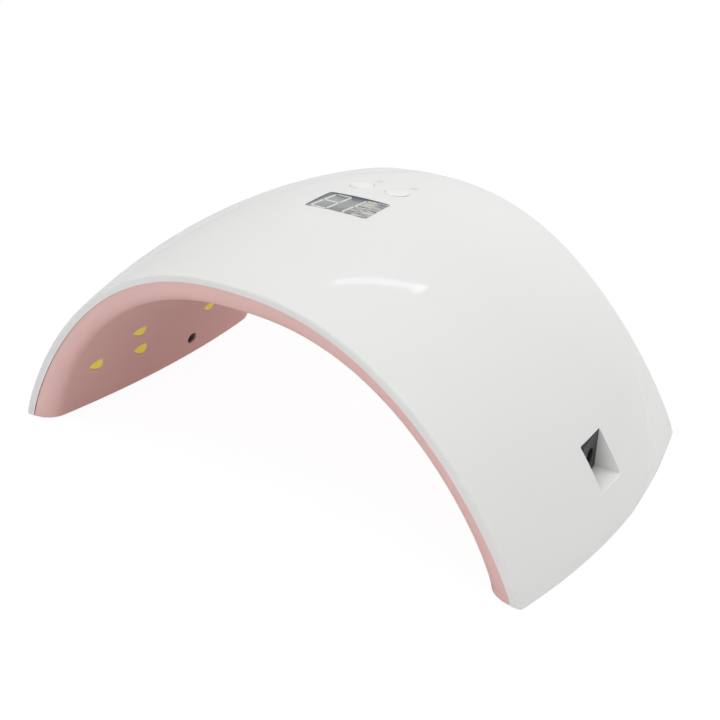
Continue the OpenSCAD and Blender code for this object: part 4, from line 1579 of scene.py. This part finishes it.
@dataclass
class Studio:
    """The camera, the pale floor and the soft studio light.

    Attributes:
        camera_at: Place of the camera in metres.
        azimuth: Turn of the camera to the left, in degrees.
        elevation: How far it looks down, in degrees.
        roll: Its roll, in degrees.
        lens: Its focal length in millimetres, on a sensor of 36.
        target: Point in metres that the lights face.
        sky_level: Strength of the surround as a source of light.
        mirror_level: Strength of the surround and of the far floor in reflections.
        floor_half: Half of the floor's side in metres.
        floor_z: Its height in metres, just below the pads.
        floor_share: How much of the floor's own level the eye sees. The rest takes light and shadow.
        floor_level: The floor's own level.
        floor_far: Distances in metres between which the mirrored floor turns pale.
        lamps: Name, place, size and power of each soft light.
        streak_ends: Both ends of the narrow light that draws the line along the shell.
        strips: Name, size and power of its two parts, the strip and the square at its end.
    """

    camera_at: Tuple[float, float, float] = (0.18698, -0.29355, 0.22001)
    azimuth: float = 31.603
    elevation: float = 29.445
    roll: float = 0.265
    lens: float = 53.67
    target: Tuple[float, float, float] = (0.0, 0.0, 0.04)
    sky_level: float = 0.02
    mirror_level: float = 0.8
    floor_half: float = 1.6
    floor_z: float = -0.00002
    floor_share: float = 0.87
    floor_level: float = 1.07
    floor_far: Tuple[float, float] = (0.14, 0.4)
    lamps: Sequence[Tuple[str, Tuple[float, float, float], Tuple[float, float], float]] = (
        ("overhead", (0.0, 0.0, 1.2), (0.9, 0.9), 8.0),
        ("front_left", (-0.5, -0.55, 0.9), (0.8, 0.8), 2.2),
        ("front", (0.0, -1.0, 0.5), (0.7, 0.7), 3.9),
        ("front_right", (0.6, -0.8, 0.4), (0.7, 0.7), 0.6),
        ("right", (0.9, -0.2, 0.5), (0.7, 0.7), 1.2),
        ("right_rear", (0.8, 0.6, 0.5), (0.7, 0.7), 3.3),
        ("left_rear", (-0.7, 0.7, 0.4), (0.7, 0.7), 0.8),
        ("rear_low", (0.0, 1.0, 0.2), (0.7, 0.35), 5.0),
    )
    streak_ends: Tuple[Tuple[float, float, float], Tuple[float, float, float]] = (
        (-0.236, 0.693, 0.988), (0.168, 0.821, 0.915),
    )
    strips: Sequence[Tuple[str, Tuple[float, float], float]] = (
        ("streak", (0.44, 0.045), 0.085), ("streak_end", (0.05, 0.065), 0.014),
    )

    def camera(self) -> None:
        """Places the camera.

        It looks along (-sin az * cos el, cos az * cos el, -sin el), and the roll turns right towards up.
        """
        data = bpy.data.cameras.new("camera")
        data.lens, data.sensor_width, data.clip_start, data.clip_end = self.lens, 36.0, 0.01, 20.0
        az, el, roll = (math.radians(v) for v in (self.azimuth, self.elevation, self.roll))
        forward = np.array([-math.sin(az) * math.cos(el), math.cos(az) * math.cos(el), -math.sin(el)])
        flat = np.array([math.cos(az), math.sin(az), 0])
        right = flat * math.cos(roll) + np.cross(flat, forward) * math.sin(roll)
        obj = put("camera", data)
        aim(obj, right, np.cross(right, forward), -forward, self.camera_at)
        bpy.context.scene.camera = obj

    def sight(self, tree: NodeTree) -> Tuple[bpy.types.NodeSocket, bpy.types.NodeSocket]:
        """Tells what looks: 1 for the eye, also through glass, and 1 for a reflection."""
        path = add_node(tree, "LightPath", {})
        seen = reckon(tree, "MAXIMUM", path["Is Camera Ray"], path["Is Transmission Ray"])
        return seen, path["Is Glossy Ray"]

    def floor(self) -> None:
        """A wide plain floor, white for the eye where no shadow falls and pale in reflections far off."""
        side = self.floor_half * np.linspace(-1, 1, 33)
        x, y = np.meshgrid(side, side, indexing="ij")
        points = np.stack([x, y, np.full_like(x, self.floor_z)], -1)
        floor = new_object("floor", points, grid_quads(len(side), len(side)).tolist())
        made = bpy.data.materials.new("floor_white")
        tree = node_tree(made)
        shader = tree.nodes["Principled BSDF"]
        wire(tree, shader, {"Base Color": (0.8, 0.8, 0.8, 1), "Roughness": 0.9, "Specular IOR Level": 0.1})
        seen, glossy = self.sight(tree)
        place = add_node(tree, "TexCoord", {})["Object"]
        away = add_node(tree, "VectorMath", {0: place}, operation="LENGTH")["Value"]
        near, far = self.floor_far
        ramp = add_node(tree, "MapRange", {"Value": away, "From Min": near, "From Max": far})["Result"]
        plain = reckon(tree, "MAXIMUM", seen, reckon(tree, "MULTIPLY", ramp, glossy))
        level = reckon(tree, "MULTIPLY_ADD", seen, self.floor_level - self.mirror_level, self.mirror_level)
        glow = add_node(tree, "Emission", {"Strength": level})["Emission"]
        share = reckon(tree, "MULTIPLY", plain, self.floor_share)
        blend = add_node(tree, "MixShader", {"Fac": share, 1: shader.outputs["BSDF"], 2: glow})
        wire(tree, tree.nodes["Material Output"], {"Surface": blend["Shader"]})
        floor.data.materials.append(made)

    def world(self) -> None:
        """A white surround for the eye, and softer ones that the lamp mirrors and that light it.

        The strength is (1 - sky) * seen + (mirror - sky) * glossy + sky.
        """
        made = bpy.data.worlds.new("surround")
        tree = node_tree(made)
        seen, glossy = self.sight(tree)
        level = reckon(tree, "MULTIPLY_ADD", glossy, self.mirror_level - self.sky_level, self.sky_level)
        level = reckon(tree, "MULTIPLY_ADD", seen, 1.0 - self.sky_level, level)
        wire(tree, tree.nodes["Background"], {"Color": (1, 1, 1, 1), "Strength": level})
        bpy.context.scene.world = made

    def lamp(self, name: str, at: Sequence[float], size: Tuple[float, float], power: float) -> Piece:
        """Adds a rectangular soft light that faces the target.

        Args:
            name: Name of the light.
            at: Place in metres.
            size: Width and height in metres.
            power: Power in watts.

        Returns:
            The light.
        """
        data = bpy.data.lights.new(name, "AREA")
        data.shape, data.size, data.size_y, data.energy = "RECTANGLE", size[0], size[1], power
        obj = put(name, data)
        back = unit(np.array(at, float) - self.target)
        right = unit(np.cross([0.0, 0.0, 1.0] if abs(back[2]) < 0.95 else REAR, back))
        aim(obj, right, np.cross(back, right), back, at)
        return obj

    def streak(self) -> None:
        """Adds a narrow strip of light and a small square at its end that only reflections show."""
        start, end = (np.array(v) for v in self.streak_ends)
        middle, along = (start + end) / 2, unit(end - start)
        back = unit(middle - self.target)
        for at, strip in zip((middle, end), self.strips):
            strip = self.lamp(strip[0], at, *strip[1:])
            aim(strip, along, np.cross(back, along), back, at)
            strip.visible_diffuse = False
            strip.data.color = srgb(244, 246, 255)[:3]

    def build(self) -> None:
        """Sets up the whole studio."""
        self.camera()
        self.floor()
        self.world()
        for name, at, size, power in self.lamps:
            self.lamp(name, at, size, power).visible_glossy = False
        self.streak()
        bpy.context.scene.view_settings.view_transform = "Standard"


def main() -> None:
    """Builds the lamp piece by piece."""
    logging.basicConfig(level=logging.INFO, format="%(name)s: %(message)s")
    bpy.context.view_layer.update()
    ShellSkin().build()
    Reflector().build()
    LampBeads().build()
    HandSensors().build()
    DisplayWindow().build()
    for side, name in ((-1, "left"), (1, "right")):
        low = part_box(f"button_{name}")[0]
        flange = FORM.inner_z(PLACES.button_x + FLANGE_REACH, PLACES.button_at + FLANGE_REACH) - FLANGE_GAP
        PushButton(side).build(float(low[2]) / MM - FORM.pad_step, flange)
    FootPads().build()
    PrintedNumbers().build()
    InnerWorks().build()
    Studio().build()
    log.info("sizes written")


if __name__ == "__main__":
    main()
